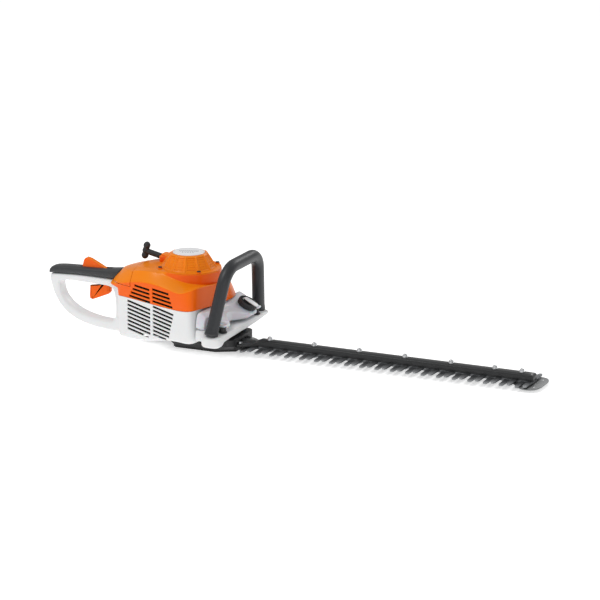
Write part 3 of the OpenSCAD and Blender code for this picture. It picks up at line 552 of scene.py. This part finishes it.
label_print = Finish("label_print", Roughness=0.28, Coat_Weight=0.3)
x, y, z = label_print.place.split()
along = x * 0.94 + y * 0.34
across = y * 0.94 - x * 0.34
level = label_print.node("CombineXYZ", {}, x, y, 0.0)
radius = label_print.node("VectorMath", {"operation": "LENGTH"}, level, out=1)
lean = along * 260.0 + across * 130.0
aside = along.math("ABSOLUTE")
dash = (lean.math("FRACT") > 0.45) * (across.math("ABSOLUTE") < 0.0042) * (aside < 0.0185)
second = ((lean * 0.8).math("FRACT") > 0.5) * ((across + 0.0105).math("ABSOLUTE") < 0.0022)
second = second * (aside < 0.012)
ring = (radius > 0.0272) * (radius < 0.0277)
ink = (dash + second + ring * 0.5).math("MINIMUM", 1.0)
mottle = label_print.noise(60.0, 3.0)
white = label_print.mix(mottle, srgb(240, 241, 243), srgb(248, 248, 249))
label_print.set(Base_Color=label_print.mix(ink * 0.75, white, srgb(96, 102, 112)))
label_print.relief(mottle, 0.00005, 0.3)
disc = [(0.4, 175.1), (29.5, 175.1), (30.0, 175.5), (29.9, 176.3), (29.2, 176.8), (25, 177.1), (15, 177.3),
        (6, 177.37), (0.4, 177.38)]
piece("label_cap", lathe(disc, 128), faces_of(len(disc), 128), label_print.material,
      stands_for=["label_disc"])

# Starter grip: a black T handle on the rope. Its crossbar is a waisted capsule and the
# stem has shallow moulded rings; both are soft-touch plastic and hide the rope's knot.

stem_z = np.linspace(5.2, 36, 60)
stem_r = 5.5 + 0.25 * np.cos(stem_z * 2.3) + 1.1 * np.clip((stem_z - 30) / 6, 0, 1) ** 2
stem_z = np.concatenate([[5.0, 5.0, 5.05], stem_z, [36.0]])
stem_r = np.concatenate([[2.2, 4.0, 4.6], stem_r, [2.0]])
stem = lathe(np.stack([stem_r, stem_z], -1), 40)
s = np.linspace(-1, 1, 61)[1:-1]
along_bar = 17.0 * np.sin(s * np.pi / 2)
bar_r = 7.0 * np.sqrt(np.clip(1 - np.clip((np.abs(along_bar) - 9) / 8.1, 0, 1) ** 2, 0.003, 1))
bar_r *= 1 - 0.16 * np.exp(-((np.abs(along_bar) - 5.2) / 2.6) ** 2)
a = np.linspace(0, 2 * np.pi, 40, endpoint=False)
bar_r = bar_r[:, None]
crossbar = np.stack([np.repeat(along_bar[:, None] + 1.2, 40, 1), bar_r * np.cos(a),
                     37.3 + bar_r * 0.98 * np.sin(a)], -1)
points, faces = join((stem, faces_of(len(stem_z), 40)), (crossbar, faces_of(59, 40)))
piece("pull_handle", on_rope(points), faces, grain.material, "pull_grip", ["starter_grip"])

# Top cover and filter cover: the orange engine shroud with its raised collar round the
# recoil cover, creased shoulders and slanted cooling slots, and the clip-on filter
# cover behind it. Both are cut from one lofted skin with real wall thickness.


def surface(net, around, up):
    """B-spline surface over a (levels, spokes, 3) net, closed round the spokes and open up the levels."""
    risen = spline(net, up, closed=False)
    return np.swapaxes(spline(np.swapaxes(risen, 0, 1), around), 0, 1)


def thicken(obj, wall):
    """Gives an open skin a wall of that many millimetres, inwards."""
    solid = obj.modifiers.new("wall", "SOLIDIFY")
    solid.thickness, solid.offset = wall / 1000, -1.0


def carve(obj, points, faces, operation="DIFFERENCE"):
    """Cuts the closed solid given by points and faces out of obj and applies every modifier."""
    mesh = bpy.data.meshes.new("cutter")
    mesh.from_pydata((np.asarray(points, float).reshape(-1, 3) * MM).tolist(), [], faces)
    tool = bpy.data.objects.new("cutter", mesh)
    bpy.context.scene.collection.objects.link(tool)
    cut = obj.modifiers.new("cut", "BOOLEAN")
    cut.object, cut.operation, cut.solver = tool, operation, "EXACT"
    bpy.context.view_layer.update()
    result = bpy.data.meshes.new_from_object(obj.evaluated_get(bpy.context.evaluated_depsgraph_get()))
    obj.modifiers.clear()
    old, obj.data = obj.data, result
    bpy.data.meshes.remove(old)
    bpy.data.objects.remove(tool)
    bpy.data.meshes.remove(mesh)


def trim(obj, planes, keep):
    """Splits an open skin along planes (axis, millimetres).
    Then drops the faces whose centre keep(x, y, z) refuses."""
    skin_mesh = bmesh.new()
    skin_mesh.from_mesh(obj.data)
    for axis, at in planes:
        point, normal = [0.0] * 3, [0.0] * 3
        point[axis], normal[axis] = at * MM, 1.0
        bmesh.ops.bisect_plane(skin_mesh, geom=skin_mesh.verts[:] + skin_mesh.edges[:] + skin_mesh.faces[:],
                               plane_co=point, plane_no=normal)
    unwanted = [f for f in skin_mesh.faces if not keep(*(f.calc_center_median() / MM))]
    bmesh.ops.delete(skin_mesh, geom=unwanted, context="FACES")
    skin_mesh.to_mesh(obj.data)
    skin_mesh.free()


def sharpen(obj, crisp):
    obj.data.polygons.foreach_set("use_smooth", [True] * len(obj.data.polygons))
    obj.data.set_sharp_from_angle(angle=math.radians(crisp))


brick_faces = [[0, 1, 3, 2], [4, 6, 7, 5], [0, 4, 5, 1], [2, 3, 7, 6], [0, 2, 6, 4], [1, 5, 7, 3]]
wall_lean = math.radians(16.9)
slot_pitch = 7.6
slot_tall = 4.7


def brick(low, high):
    """Plain box used only for cutting."""
    x, y, z = zip(low, high)
    return [(x[i], y[j], z[k]) for i in (0, 1) for j in (0, 1) for k in (0, 1)], brick_faces


def on_wall(along, depth, z):
    """Points on the near wall: along it from its rear corner, depth inwards from it, height z."""
    return (-119 + along * math.cos(wall_lean) + depth * math.sin(wall_lean),
            -49 - along * math.sin(wall_lean) + depth * math.cos(wall_lean), z)


def slots(columns, first, rows, fall):
    """Slanted slot prisms through the near wall, one pitch apart from height first up.
    They fall by fall degrees. A column is (start, end, start shift, end shift, low):
    the shifts are per mm of height, and no slot goes below low."""
    fall = math.tan(math.radians(fall))
    solids = []
    for start, end, start_shift, end_shift, low in columns:
        for rise in slot_pitch * np.arange(rows):
            a, top = start + rise * start_shift, first + rise
            b = min(end + rise * end_shift, a + (top - slot_tall - low) / fall)
            points = [on_wall(s, d, top - (s - a) * fall - h) for s in (a, b) for h in (0, slot_tall)
                      for d in (-14, 12)]
            solids.append((points, brick_faces))
    return join(*solids)


seam = [(-123.8, -47.6, 90), (-90, -58, 90), (-50, -70, 88.2), (-15, -81, 87.2), (12, -89, 87),
        (32, -95.3, 87.5), (50, -100.3, 90), (60, -86, 91.5), (66, -54, 90), (73.5, -12, 89), (76, 35, 88),
        (66, 71, 86), (50, 82, 87), (15, 75.4, 88), (-25, 67.8, 89), (-70, 59.3, 90), (-119, 50, 91),
        (-143, 35, 104), (-156, 14, 106), (-156, -14, 106), (-150, -33, 106), (-125.5, -47, 104)]
crease = [(-113, -53, 116), (-88, -62, 122), (-58, -71, 128), (-24, -79, 127), (8, -87.5, 121.5),
          (27, -93.5, 119), (48, -95, 129), (58, -80, 132), (62, -50, 129), (69, -6, 126), (69, 30, 122),
          (59, 56, 119), (42, 66, 121), (8, 67, 124), (-30, 63, 126), (-68, 58, 125), (-106, 50, 117),
          (-132, 34, 114.5), (-152, 12, 112.5), (-152, -12, 112.5), (-143, -33, 112.5), (-126, -46, 113.5)]
foot = [(-101, -43, 138), (-80, -53, 144), (-51, -59, 146.5), (-22, -59, 143.5), (4, -63, 137),
        (21, -60, 131.5), (45, -46, 127), (56, -31, 125), (62, -14, 123.5), (63.5, 4, 123), (59.5, 21, 124),
        (47, 42, 127), (22, 60, 131), (0, 63.5, 137), (-24, 59, 143.5), (-58, 50, 146), (-92, 40, 142),
        (-112, 26, 140), (-133, 8, 134.5), (-133, -8, 134.5), (-121, -26, 137), (-110, -36, 138)]
deck = [(-84, -36, 146.6), (-70, -42, 148), (-46, -44, 148.6), (-22, -59, 147.6), (4, -62.5, 147),
        (21, -59.5, 147), (44, -45, 147), (55, -31, 147), (61.4, -14, 147), (63, 4, 147), (59, 21, 147),
        (46.5, 41.5, 147), (21.5, 59.5, 147), (0, 63, 147), (-24, 58.5, 147.6), (-50, 38, 148.6),
        (-76, 36, 147), (-84, 20, 147.4), (-91, 6, 147.2), (-91, -6, 147.2), (-88, -20, 147),
        (-86, -28, 146.8)]
seam, crease, foot, deck = (np.array(ring, float) for ring in (seam, crease, foot, deck))
angle = np.arctan2(deck[:, 1], deck[:, 0])
hole = np.column_stack([50 * np.cos(angle), 50 * np.sin(angle), np.full(len(deck), 146.6)])
brim_z = 147 + 1.4 * np.clip(-np.cos(angle) * 2, 0, 1)
brim = np.column_stack([60 * np.cos(angle), 60 * np.sin(angle), brim_z])
lift = np.array([0, 0, 1.0])
swell = (crease - foot) * [1, 1, 0]
swell /= np.maximum(np.linalg.norm(swell, axis=1, keepdims=True), 1)
net = np.stack([seam, seam * 0.94 + crease * 0.06, seam * 0.6 + crease * 0.4 + swell * 0.8,
                crease - lift * 1.2, crease - lift * 0.2, crease * 0.8 + foot * 0.2 + lift * 0.6,
                crease * 0.45 + foot * 0.55 + lift * 0.4, foot + (crease - foot) * 0.06, foot,
                foot + (deck - foot) * 0.12, deck - (deck - foot) * 0.12, deck,
                deck + (brim - deck) * 0.3, brim, hole])
corner = [0, 0] + list(range(1, 21)) + [21, 21]
skin = surface(net[:, corner], 336, 170)
skin_faces = faces_of(170, 336, caps=False)

shroud = piece("engine_shroud", skin, skin_faces, orange.material,
               stands_for=["top_cover"])
notch = [(0, -135.5), (1, -15.6), (1, 15.6)]
trim(shroud, notch + [(0, -92.2), (2, 112.0)],
     lambda x, y, z: not (x < -92.2 and z > 112) and not (x < -135.5 and abs(y) < 15.6))
thicken(shroud, 2.4)
carve(shroud, *slots([(23, 77, 0.7, 0, 80), (83, 134, 0.03, -0.42, 80)], 96.6, 4, 4.5))
sharpen(shroud, 26)
lid = piece("filter_lid", skin, skin_faces, orange.material,
            stands_for=["filter_cover"])
trim(lid, notch + [(0, -93.8), (2, 113.0)], lambda x, y,
     z: x < -93.8 and z > 113 and not (x < -135.5 and abs(y) < 15.6))
thicken(lid, 2.4)
sharpen(lid, 26)

# Lower housing: the off-white engine tray with the lower cooling slots. It is a lofted
# shell with a rounded, rising underside, cut by the same slanted slots; behind them
# stands a near-black finned sheet, painted shade for the inside of the slots. Fine-textured matt polyamide.

cream = Finish("white_polyamide", Coat_Weight=0.08, Subsurface_Weight=0.06, Subsurface_Scale=0.003)
tooth = cream.noise(2600.0, 3.0)
soft = cream.noise(18.0, 3.0)
dirt = cream.noise(240.0, 6.0)
tone = cream.mix(soft, srgb(220, 221, 222), srgb(229, 230, 230))
tone = cream.mix(dirt.band(0.66, 0.84) * 0.3, tone, srgb(200, 201, 201))
cream.set(Base_Color=tone, Roughness=0.44 + soft * 0.1 + dirt * 0.06)
cream.relief(tooth * 0.7 + dirt * 0.3, 0.0001, 0.6)

edge = seam.copy()
edge[:, 2] -= 0.7
edge[7:11] = [(58, -86, 90), (58, -54, 89.5), (58, -12, 88.5), (58, 35, 87.5)]
edge[11] = (58, 70, 85.5)
edge[16:22] = [(-118, 49.5, 90.3), (-138, 33, 101), (-146, 12, 104.5), (-146, -12, 104.5),
               (-140, -31, 104.5), (-124.5, -46.5, 103.3)]
wall_xy = edge[:, :2].copy()
wall_xy[17:22] = [(-130, 37), (-133, 13), (-133, -13), (-131.5, -32), (-125, -46)]
low = between(wall_xy[:, 0], [-140, -100, -50, -24, 20, 70], [9, 8, 12, 20, 25, 25])
centre = np.array([-30.0, -8.0])
inward = centre - wall_xy
inward /= np.linalg.norm(inward, axis=1, keepdims=True)


def lower_ring(pull, height):
    return np.column_stack([wall_xy + inward * pull, height])


net = np.stack([lower_ring(46, np.maximum(low, 8.5) + 0.4), lower_ring(30, low + 0.2), lower_ring(15, low),
                lower_ring(8.5, low + 0.1),
                lower_ring(2.6, low + 3.2), lower_ring(0.5, low + 8.5), lower_ring(0, low + 16),
                lower_ring(-0.2, low * 0.4 + 42),
                np.column_stack([wall_xy, low * 0.1 + 66]),
                np.column_stack([wall_xy * 0.6 + edge[:, :2] * 0.4, np.full_like(low, 78)]),
                np.column_stack([wall_xy * 0.2 + edge[:, :2] * 0.8, edge[:, 2] - 5]), edge - lift * 1.0,
                edge])
tray = piece("engine_tray", surface(net[:, corner], 336, 120), faces_of(120, 336, caps=False),
             cream.material,
             stands_for=["lower_housing"])
thicken(tray, 2.4)
carve(tray, *slots([(17.5, 77, 0, 0, 20.5), (83, 122.5, 0, 0.26, 23.5)], 32.8, 8, 8))
carve(tray, *brick((-25, -51, -5), (59, 51, 28.3)))
bulb_hole = outwards(lathe([(11.4, -12), (11.4, 12)], 48))
carve(tray, placed(bulb_hole, bulb_at, 10.7), faces_of(2, 48))
sharpen(tray, 26)

# Near-black finned sheet just behind the slots: painted shade that makes the inside of the slots dark.
shade_sheet_finish = Finish("painted_slot_shade", Roughness=0.7)
shade_sheet_mottle = shade_sheet_finish.noise(300.0, 4.0)
shade_sheet_finish.set(Base_Color=shade_sheet_finish.mix(shade_sheet_mottle, srgb(12, 12, 13), srgb(26, 26, 27)))
shade_sheet_finish.relief(shade_sheet_mottle, 0.0003, 0.6)
run_s = np.linspace(12, 141, 260)
depth = 5.2 + 0.9 * np.sign(np.sin(run_s * 1.9))
folds = ((0, 27), (0, 60), (0.3, 92), (0.8, 121), (1.6, 121), (1.2, 92), (0.9, 60), (0.9, 27))
front = [np.stack(on_wall(run_s, depth + d, np.full_like(run_s, z)), -1) for d, z in folds]
piece("painted_shade_sheet", np.stack(front, 1), faces_of(260, 8), shade_sheet_finish.material)

# Rear handle: a white moulded D loop that joins the tray. A rounded section is lofted
# along matched outer and inner side profiles and slotted for the trigger; a fine
# groove runs along the middle of both flanks.

outer = [(-291.8, 105.5), (-288, 88), (-280, 64), (-266.5, 43), (-245, 25.5), (-215, 14.5), (-183, 9),
         (-155, 6.6), (-133, 6.2), (-129, 34), (-129, 72), (-131, 96), (-139, 107), (-165, 108.3),
         (-195, 109), (-222, 109.6), (-254, 108.3), (-282, 107)]
inner = [(-267, 90), (-266, 77), (-259.5, 61), (-246, 48.6), (-228, 38.8), (-204, 31.6), (-178, 27.8),
         (-160, 27.2), (-151.0, 31), (-149.4, 48), (-150, 66), (-152.6, 82), (-157, 92.6), (-170, 94.6),
         (-195, 95.0), (-222, 96), (-246, 96.4), (-263, 95.6)]
loop_out, loop_in = spline(outer, 180), spline(inner, 180)
t = np.linspace(0, 2 * np.pi, 36, endpoint=False)
power = 0.52
c, q = np.sign(np.cos(t)) * np.abs(np.cos(t)) ** power, np.sign(np.sin(t)) * np.abs(np.sin(t)) ** power
middle, reach = (loop_out + loop_in) / 2, (loop_out - loop_in) / 2
swell = 13.9 - 0.45 * np.exp(-(np.cos(t) / 0.06) ** 2)
rings = np.stack([middle[:, None, 0] + reach[:, None, 0] * c, np.broadcast_to(swell * q, (180, 36)),
                  middle[:, None, 1] + reach[:, None, 1] * c], -1)
grid_faces = faces_of(180, 36, caps=False)
grid_faces += [[179 * 36 + k, 179 * 36 + (k + 1) % 36, (k + 1) % 36, k] for k in range(36)]
loop = piece("handle_loop", rings, [f[::-1] for f in grid_faces], cream.material,
             stands_for=["rear_handle"])
carve(loop, *brick((-226, -5, 70), (-159.5, 5, 130)))
sharpen(loop, 30)

# Grip, throttle trigger and lockout lever: a black soft-touch shell on top of the loop,
# with an orange wedge trigger below and an orange lockout above, both hinged on pins
# inside the slot. Soft rubber grain on the grip, glossy polyamide on the levers.

soft_touch = Finish("grip_rubber", Sheen_Weight=0.15)
pebble = soft_touch.node("TexVoronoi", {}, Vector=soft_touch.place, Scale=1100.0)
wear = soft_touch.noise(50.0, 5.0)
soft_touch.set(Base_Color=soft_touch.mix(wear, srgb(32, 34, 36), srgb(50, 52, 55)),
               Roughness=0.5 + wear * 0.15)
soft_touch.relief(pebble * 0.5 + wear * 0.5, 0.00025, 0.6)
under = [(-291.6, 106.2), (-289, 106), (-279, 107.2), (-254, 108.5), (-222, 109.9), (-190, 109.2),
         (-170, 108.7), (-156, 108.4), (-149.5, 109.6), (-148.6, 111)]
upper = [(-291.7, 108.5), (-290.2, 117.5), (-281, 122.4), (-254, 124.4), (-222, 125), (-190, 125.8),
         (-168, 126.8), (-149, 128.6), (-139, 130.3), (-138, 130.6)]
wide = [9.0, 13.0, 14.6, 14.9, 14.9, 14.9, 14.9, 14.9, 14.9, 14.4]
low_line, high_line = spline(under, 90, False), spline(upper, 90, False)
width = spline(np.array(wide)[:, None], 90, False)[:, 0]
t = np.linspace(0, 2 * np.pi, 48, endpoint=False)
c, q = np.sign(np.cos(t)) * np.abs(np.cos(t)) ** 0.66, np.sign(np.sin(t)) * np.abs(np.sin(t)) ** 0.72
middle, reach = (high_line + low_line) / 2, (high_line - low_line) / 2
rings = np.stack([middle[:, None, 0] + reach[:, None, 0] * q, -width[:, None] * c,
                  middle[:, None, 1] + reach[:, None, 1] * q], -1)
grip = piece("grip_shell", rings, faces_of(90, 48), soft_touch.material,
             stands_for=["handle_grip"])
carve(grip, *brick((-226, -5, 80), (-159.5, 5, 150)))
sharpen(grip, 34)


def lever(name, profile, half_width, body, node):
    """Side profile smoothed to a closed curve and given a rounded rim on both sides."""
    curve = spline(np.repeat(np.array(profile, float), 3, 0), 144)
    rows = cushion(curve, -half_width, half_width, 1.4)
    turned = np.stack([rows[..., 0], rows[..., 2], rows[..., 1]], -1)
    return piece(name, turned, [f[::-1] for f in faces_of(10, 144)], orange.material, body,
                 [node])


lever("trigger_wedge", [(-171, 110), (-176, 96), (-190, 92), (-207.0, 89.3), (-208.4, 70), (-207.6, 64),
                        (-202, 62.2), (-168, 76.5), (-164.2, 81),
                        (-163.8, 92), (-163.5, 110)], 4.3, "trigger", "throttle_trigger")
lever("lockout_wedge", [(-176, 108.4), (-175.2, 124.8), (-184, 129.5), (-206, 140), (-214.5, 141.6),
                        (-218, 137), (-220.6, 127), (-221, 111.2),
                        (-200, 109.2)][::-1], 4.3, "lockout", "lockout_lever")

# Front base: the white moulded bridge that carries the loop handle, with a low near
# foot, an arched underside and a raised far end. One section is lofted across the
# machine; it is screwed to the gearbox through two rubber buffers.

stations = np.concatenate([[-115.8, -115.4, -114.4], np.linspace(-112.5, 112.5, 76), [114.4, 115.4, 115.8]])
round_end = np.sqrt(np.clip(1 - np.clip((np.abs(stations) - 103) / 13.0, 0, 1) ** 2.2, 0.02, 1))
below = between(stations, [-116, -93, -84, -60, 11, 60, 116], [28.4, 28.4, 33.6, 34.8, 34.8, 37.5, 44])
above = between(stations, [-116, -100, 100, 116], [49.2, 49.9, 49.9, 49.4])
behind = 95.5 - 18.9 * round_end
before = 95.5 + 19.3 * round_end - between(stations, [-116, -60, 0, 60, 116], [0, 2, 3.5, 2, 0])
t = np.linspace(0, 2 * np.pi, 48, endpoint=False)
c, q = np.sign(np.cos(t)) * np.abs(np.cos(t)) ** 0.42, np.sign(np.sin(t)) * np.abs(np.sin(t)) ** 0.5
half_depth = ((before - behind) / 2)[:, None]
half_height = ((above - below) / 2 * (0.55 + 0.45 * round_end))[:, None]
rings = np.stack([((before + behind) / 2)[:, None] + half_depth * c, np.repeat(stations[:, None], 48, 1),
                  ((above + below) / 2)[:, None] + half_height * q], -1)
piece("handle_bridge", rings[:, ::-1], faces_of(len(stations), 48), cream.material,
      stands_for=["front_base"])

web, web_faces = block((58.6, 82), (-99, 84), (33.8, 56.4), 9.0)
piece("bridge_web", web, web_faces, cream.material)

# Front handle: a black coated tube bent into a loop that leans forward a little, with a
# moulded collar at each foot. Satin black with the fine vertical brushing of the
# coating.

tube_coat = Finish("tube_coating", Coat_Weight=0.1, Coat_Roughness=0.3)
brush = tube_coat.noise(500.0, 4.0, (1.0, 1.0, 0.12))
pores = tube_coat.noise(1600.0, 3.0)
tube_coat.set(Base_Color=tube_coat.mix(brush, srgb(22, 24, 27), srgb(42, 45, 49)),
              Roughness=0.4 + brush * 0.15)
tube_coat.relief(pores * 0.6 + brush * 0.4, 0.00016, 0.7)


def bent(corners, radius, step=2.0):
    """Points about step apart along straight runs joined by arcs of that bend radius."""
    corners = [np.array(corner, float) for corner in corners]
    path = [corners[0]]
    for a, b, c in zip(corners, corners[1:], corners[2:]):
        u, v = (b - a) / np.linalg.norm(b - a), (c - b) / np.linalg.norm(c - b)
        bend = math.acos(float(np.clip(u @ v, -1, 1)))
        side = (v - u * (u @ v))
        side /= np.linalg.norm(side)
        hub = b - u * radius * math.tan(bend / 2) + side * radius
        angles = np.linspace(0, bend, max(int(bend * radius / step), 4))
        path += [hub - radius * (side * math.cos(w) - u * math.sin(w)) for w in angles]
    path.append(corners[-1])
    path = np.array(path)
    gaps = np.r_[0, np.cumsum(np.linalg.norm(np.diff(path, axis=0), axis=1))]
    at = np.linspace(0, gaps[-1], int(gaps[-1] / step))
    return np.stack([np.interp(at, gaps, path[:, k]) for k in range(3)], -1), at


def tube(path, radius, sides, across):
    """Rings of the given radius (one per point) round a path that never runs along across."""
    ahead = np.gradient(path, axis=0)
    ahead /= np.linalg.norm(ahead, axis=1, keepdims=True)
    side = np.cross(np.broadcast_to(across, ahead.shape), ahead)
    side /= np.linalg.norm(side, axis=1, keepdims=True)
    over = np.cross(ahead, side)
    w = np.linspace(0, 2 * np.pi, sides, endpoint=False)[None, :, None]
    ring = side[:, None] * np.cos(w) + over[:, None] * np.sin(w)
    return path[:, None] + np.asarray(radius, float).reshape(-1, 1, 1) * ring


up = 120 / math.cos(math.radians(7))
path, at = bent([(0, -103.6, 0), (0, -66, up), (0, 67, up), (0, 103.6, 0)], 42)
lean = math.radians(7)
path = np.stack([95 + path[:, 2] * math.sin(lean), path[:, 1], 50 + path[:, 2] * math.cos(lean)], -1)
ends = np.minimum(at, at[-1] - at)
radius = 11.85 + 1.0 * np.exp(-(ends / 9.0) ** 4) - 2.2 * np.exp(-(ends / 1.2) ** 2)
rings = tube(path, radius, 48, (1.0, 0.0, 0.0))
rings[..., 2] = np.maximum(rings[..., 2], 50.02)
piece("loop_tube", rings, faces_of(len(path), 48), tube_coat.material,
      stands_for=["front_handle"], crisp=50)

# Fuel tank: a milky translucent moulding behind the loop handle. Its section is lofted
# across the machine with crowned corners and a dished front panel, and a neck stands
# under the cap.

milk = Finish("tank_polyethylene", Subsurface_Weight=0.35, Subsurface_Scale=0.012, Coat_Weight=0.1)
flow = milk.noise(22.0, 3.0)
skin_noise = milk.noise(1200.0, 3.0)
# Darker towards the bottom: below 50 mm the tank is mixed to a darker grey, reaching the lighter tone at 62
# mm.
level = milk.place.split()[2].band(0.050, 0.062)
upper_tone = milk.mix(flow, srgb(206, 206, 213), srgb(219, 219, 225))
milk.set(Base_Color=milk.mix(level, srgb(184, 184, 192), upper_tone), Roughness=0.34 + flow * 0.1)
milk.relief(skin_noise * 0.4 + flow * 0.6, 0.00015, 0.5)
across_y = np.concatenate([[-94.8, -94.2, -92.5], np.linspace(-90, 86, 110), [88, 89.2, 89.8]])
nose = between(across_y, [-95, -84, -72, -62, -50, -38, -24, -10, 2, 16, 26, 58, 66, 78, 90],
               [77, 84, 95, 108, 109, 97, 91, 93, 101, 111, 113, 113, 100, 83, 77])
squeeze = np.sqrt(np.clip(1 - np.clip((np.abs(across_y + 2.5) - 84) / 8.6, 0, 1) ** 2.4, 0.02, 1))
dish = np.exp(-((across_y + 24) / 30) ** 4)
deck_z = lambda x: 88 - np.maximum(x - 66, 0) * 24.3 / 46
profile = [(60.4, 57.6), (60.2, 66), (60.4, 84), (62.5, 87.3), (66, 87.6)]
ring_list = [np.stack([np.full_like(across_y, x), across_y, 60 + (z - 60) * squeeze], -1) for x,
             z in profile]
for share, drop in ((0.25, 0.2), (0.5, 1.6), (0.7, 2.6), (0.88, 1.4), (0.97, 0.3)):
    x = 66 + (nose - 66) * share
    ring_list.append(np.stack([x, across_y, 60 + (deck_z(x) - drop * dish - 60) * squeeze], -1))
for x_back, z in ((0.0, 61.5), (0.4, 57.0), (2.5, 54.8)):
    ring_list.append(np.stack([nose - x_back, across_y,
                               60 + (np.minimum(z, deck_z(nose) - 2) - 60) * squeeze], -1))
for share, z in ((0.6, 54.4), (0.1, 54.8)):
    ring_list.append(np.stack([66 + (nose - 66) * share, across_y, 60 + (z - 60) * squeeze], -1))
rings = spline(np.swapaxes(np.stack(ring_list, 1), 0, 1), 150)
rings = np.swapaxes(rings, 0, 1)
tilt = 28.0
cap_seat = (96.9, 45, 71.9)
neck = lathe([(14.8, -6), (14.8, -0.6), (14.4, 0.2), (13.4, 0.6), (13.0, 0.9), (0.3, 0.9)], 48)
neck = placed(neck, cap_seat, 0, tilt)
seat = placed(lathe([(20.5, -7.5), (20.5, -1.2), (19.6, -0.2), (14.0, 0.2)], 64), cap_seat, 0, tilt)
ledges = [block((84, 112), (s * 72 - 8, s * 72 + 8), (62, 66), 8.0) for s in (-1, 1)]
points, faces = join((rings, faces_of(len(across_y), 150)), (neck, faces_of(6, 48)),
                     (seat, faces_of(4, 64)), *ledges)
piece("milky_tank", points, faces, milk.material, stands_for=["fuel_tank"], crisp=50)

# Fuel cap and its wing: a black ribbed screw cap with a dished top, and a white flip-up
# wing hinged across the dish. The cap turns on the tank neck, the wing turns on the
# cap; fine moulded grain on both.

cap_rows = [(10.9, -7.8), (10.9, 0.6), (11.2, 1.15), (18.2, 1.15), (18.9, 1.7), (18.9, 9.2), (18.4, 10.4),
            (17.4, 11.0), (16.2, 11.05), (15.5, 10.7), (15.1, 9.8), (14.9, 8.2), (14.5, 7.7), (13.5, 7.5),
            (0.3, 7.5)]
points = lathe(cap_rows, 160, ribbed(26, 0.045, 4, 6))
piece("screw_cap", placed(points, cap_seat, 0, tilt), faces_of(len(cap_rows), 160), grain.material, "cap",
      ["fuel_cap"])

wing_white = Finish("wing_moulding", Roughness=0.4, Subsurface_Weight=0.08, Subsurface_Scale=0.002)
frost = wing_white.noise(1500.0, 3.0)
wing_white.set(Base_Color=wing_white.mix(frost, srgb(228, 229, 231), srgb(240, 240, 241)))
wing_white.relief(frost, 0.0001, 0.6)
paddle, paddle_faces = block((-9.4, 20.5), (-6.2, 6.2), (11.2, 14.2), 4.0)
hinge = lathe([(0.3, -2.6), (1.5, -2.6), (1.5, 2.6), (0.3, 2.6)], 24)
hinge = np.stack([hinge[..., 0] - 10.5, -hinge[..., 2], hinge[..., 1] + 9.9], -1)
points, faces = join((paddle, paddle_faces), (hinge, faces_of(4, 24)))
piece("flip_wing", placed(points, cap_seat, 0, tilt), faces, wing_white.material, "wing",
      ["cap_wing"])

# Studio: a plain white floor that reaches past the view, a large soft key light from the
# upper left, a weaker fill and a rim light, and the camera at a long focal length.

floor_paint = Finish("studio_floor", Roughness=0.95, Emission_Color=(1.0, 1.0, 1.0, 1.0),
                     Emission_Strength=0.5, Specular_IOR_Level=0.1)
wash = floor_paint.noise(1.5, 2.0)
floor_paint.set(Base_Color=floor_paint.mix(wash, srgb(250, 250, 250), srgb(253, 253, 253)))
sheet = np.array([(-30000, -30000, 0), (30000, -30000, 0), (30000, 30000, 0), (-30000, 30000, 0)], float)
floor = bpy.data.meshes.new("studio_floor")
floor.from_pydata((sheet * MM).tolist(), [], [[0, 1, 2, 3]])
floor.materials.append(floor_paint.material)
floor = bpy.data.objects.new("studio_floor", floor)
bpy.context.scene.collection.objects.link(floor)

world = bpy.data.worlds.new("studio")
world.use_nodes = True
world.node_tree.nodes["Background"].inputs["Color"].default_value = (1.0, 1.0, 1.0, 1.0)
world.node_tree.nodes["Background"].inputs["Strength"].default_value = 0.52
bpy.context.scene.world = world
bpy.context.scene.view_settings.view_transform = "Standard"


def softbox(name, place, aim, size, watts):
    light = bpy.data.lights.new(name, "AREA")
    light.shape, light.size, light.energy = "DISK", size, watts
    lamp = bpy.data.objects.new(name, light)
    lamp.location = place
    lamp.rotation_euler = (Vector(aim) - Vector(place)).to_track_quat("-Z", "Y").to_euler()
    bpy.context.scene.collection.objects.link(lamp)


softbox("key_light", (-1.0, -1.2, 2.6), (0.1, 0, 0), 1.1, 26)
softbox("fill_light", (2.4, -2.2, 1.4), (0.1, 0, 0.1), 1.0, 6)
softbox("rim_light", (0.6, 2.2, 1.6), (0.1, 0, 0.1), 0.9, 12)

camera = bpy.data.cameras.new("studio_camera")
camera.lens, camera.sensor_width = 184, 36
camera.shift_x, camera.shift_y = 0.0757, 0.085
viewer = bpy.data.objects.new("studio_camera", camera)
viewer.location = (2.4506, -4.9659, 1.5711)
viewer.rotation_euler = (Vector((0.135, 0, 0)) - viewer.location).to_track_quat("-Z", "Y").to_euler()
bpy.context.scene.collection.objects.link(viewer)
bpy.context.scene.camera = viewer
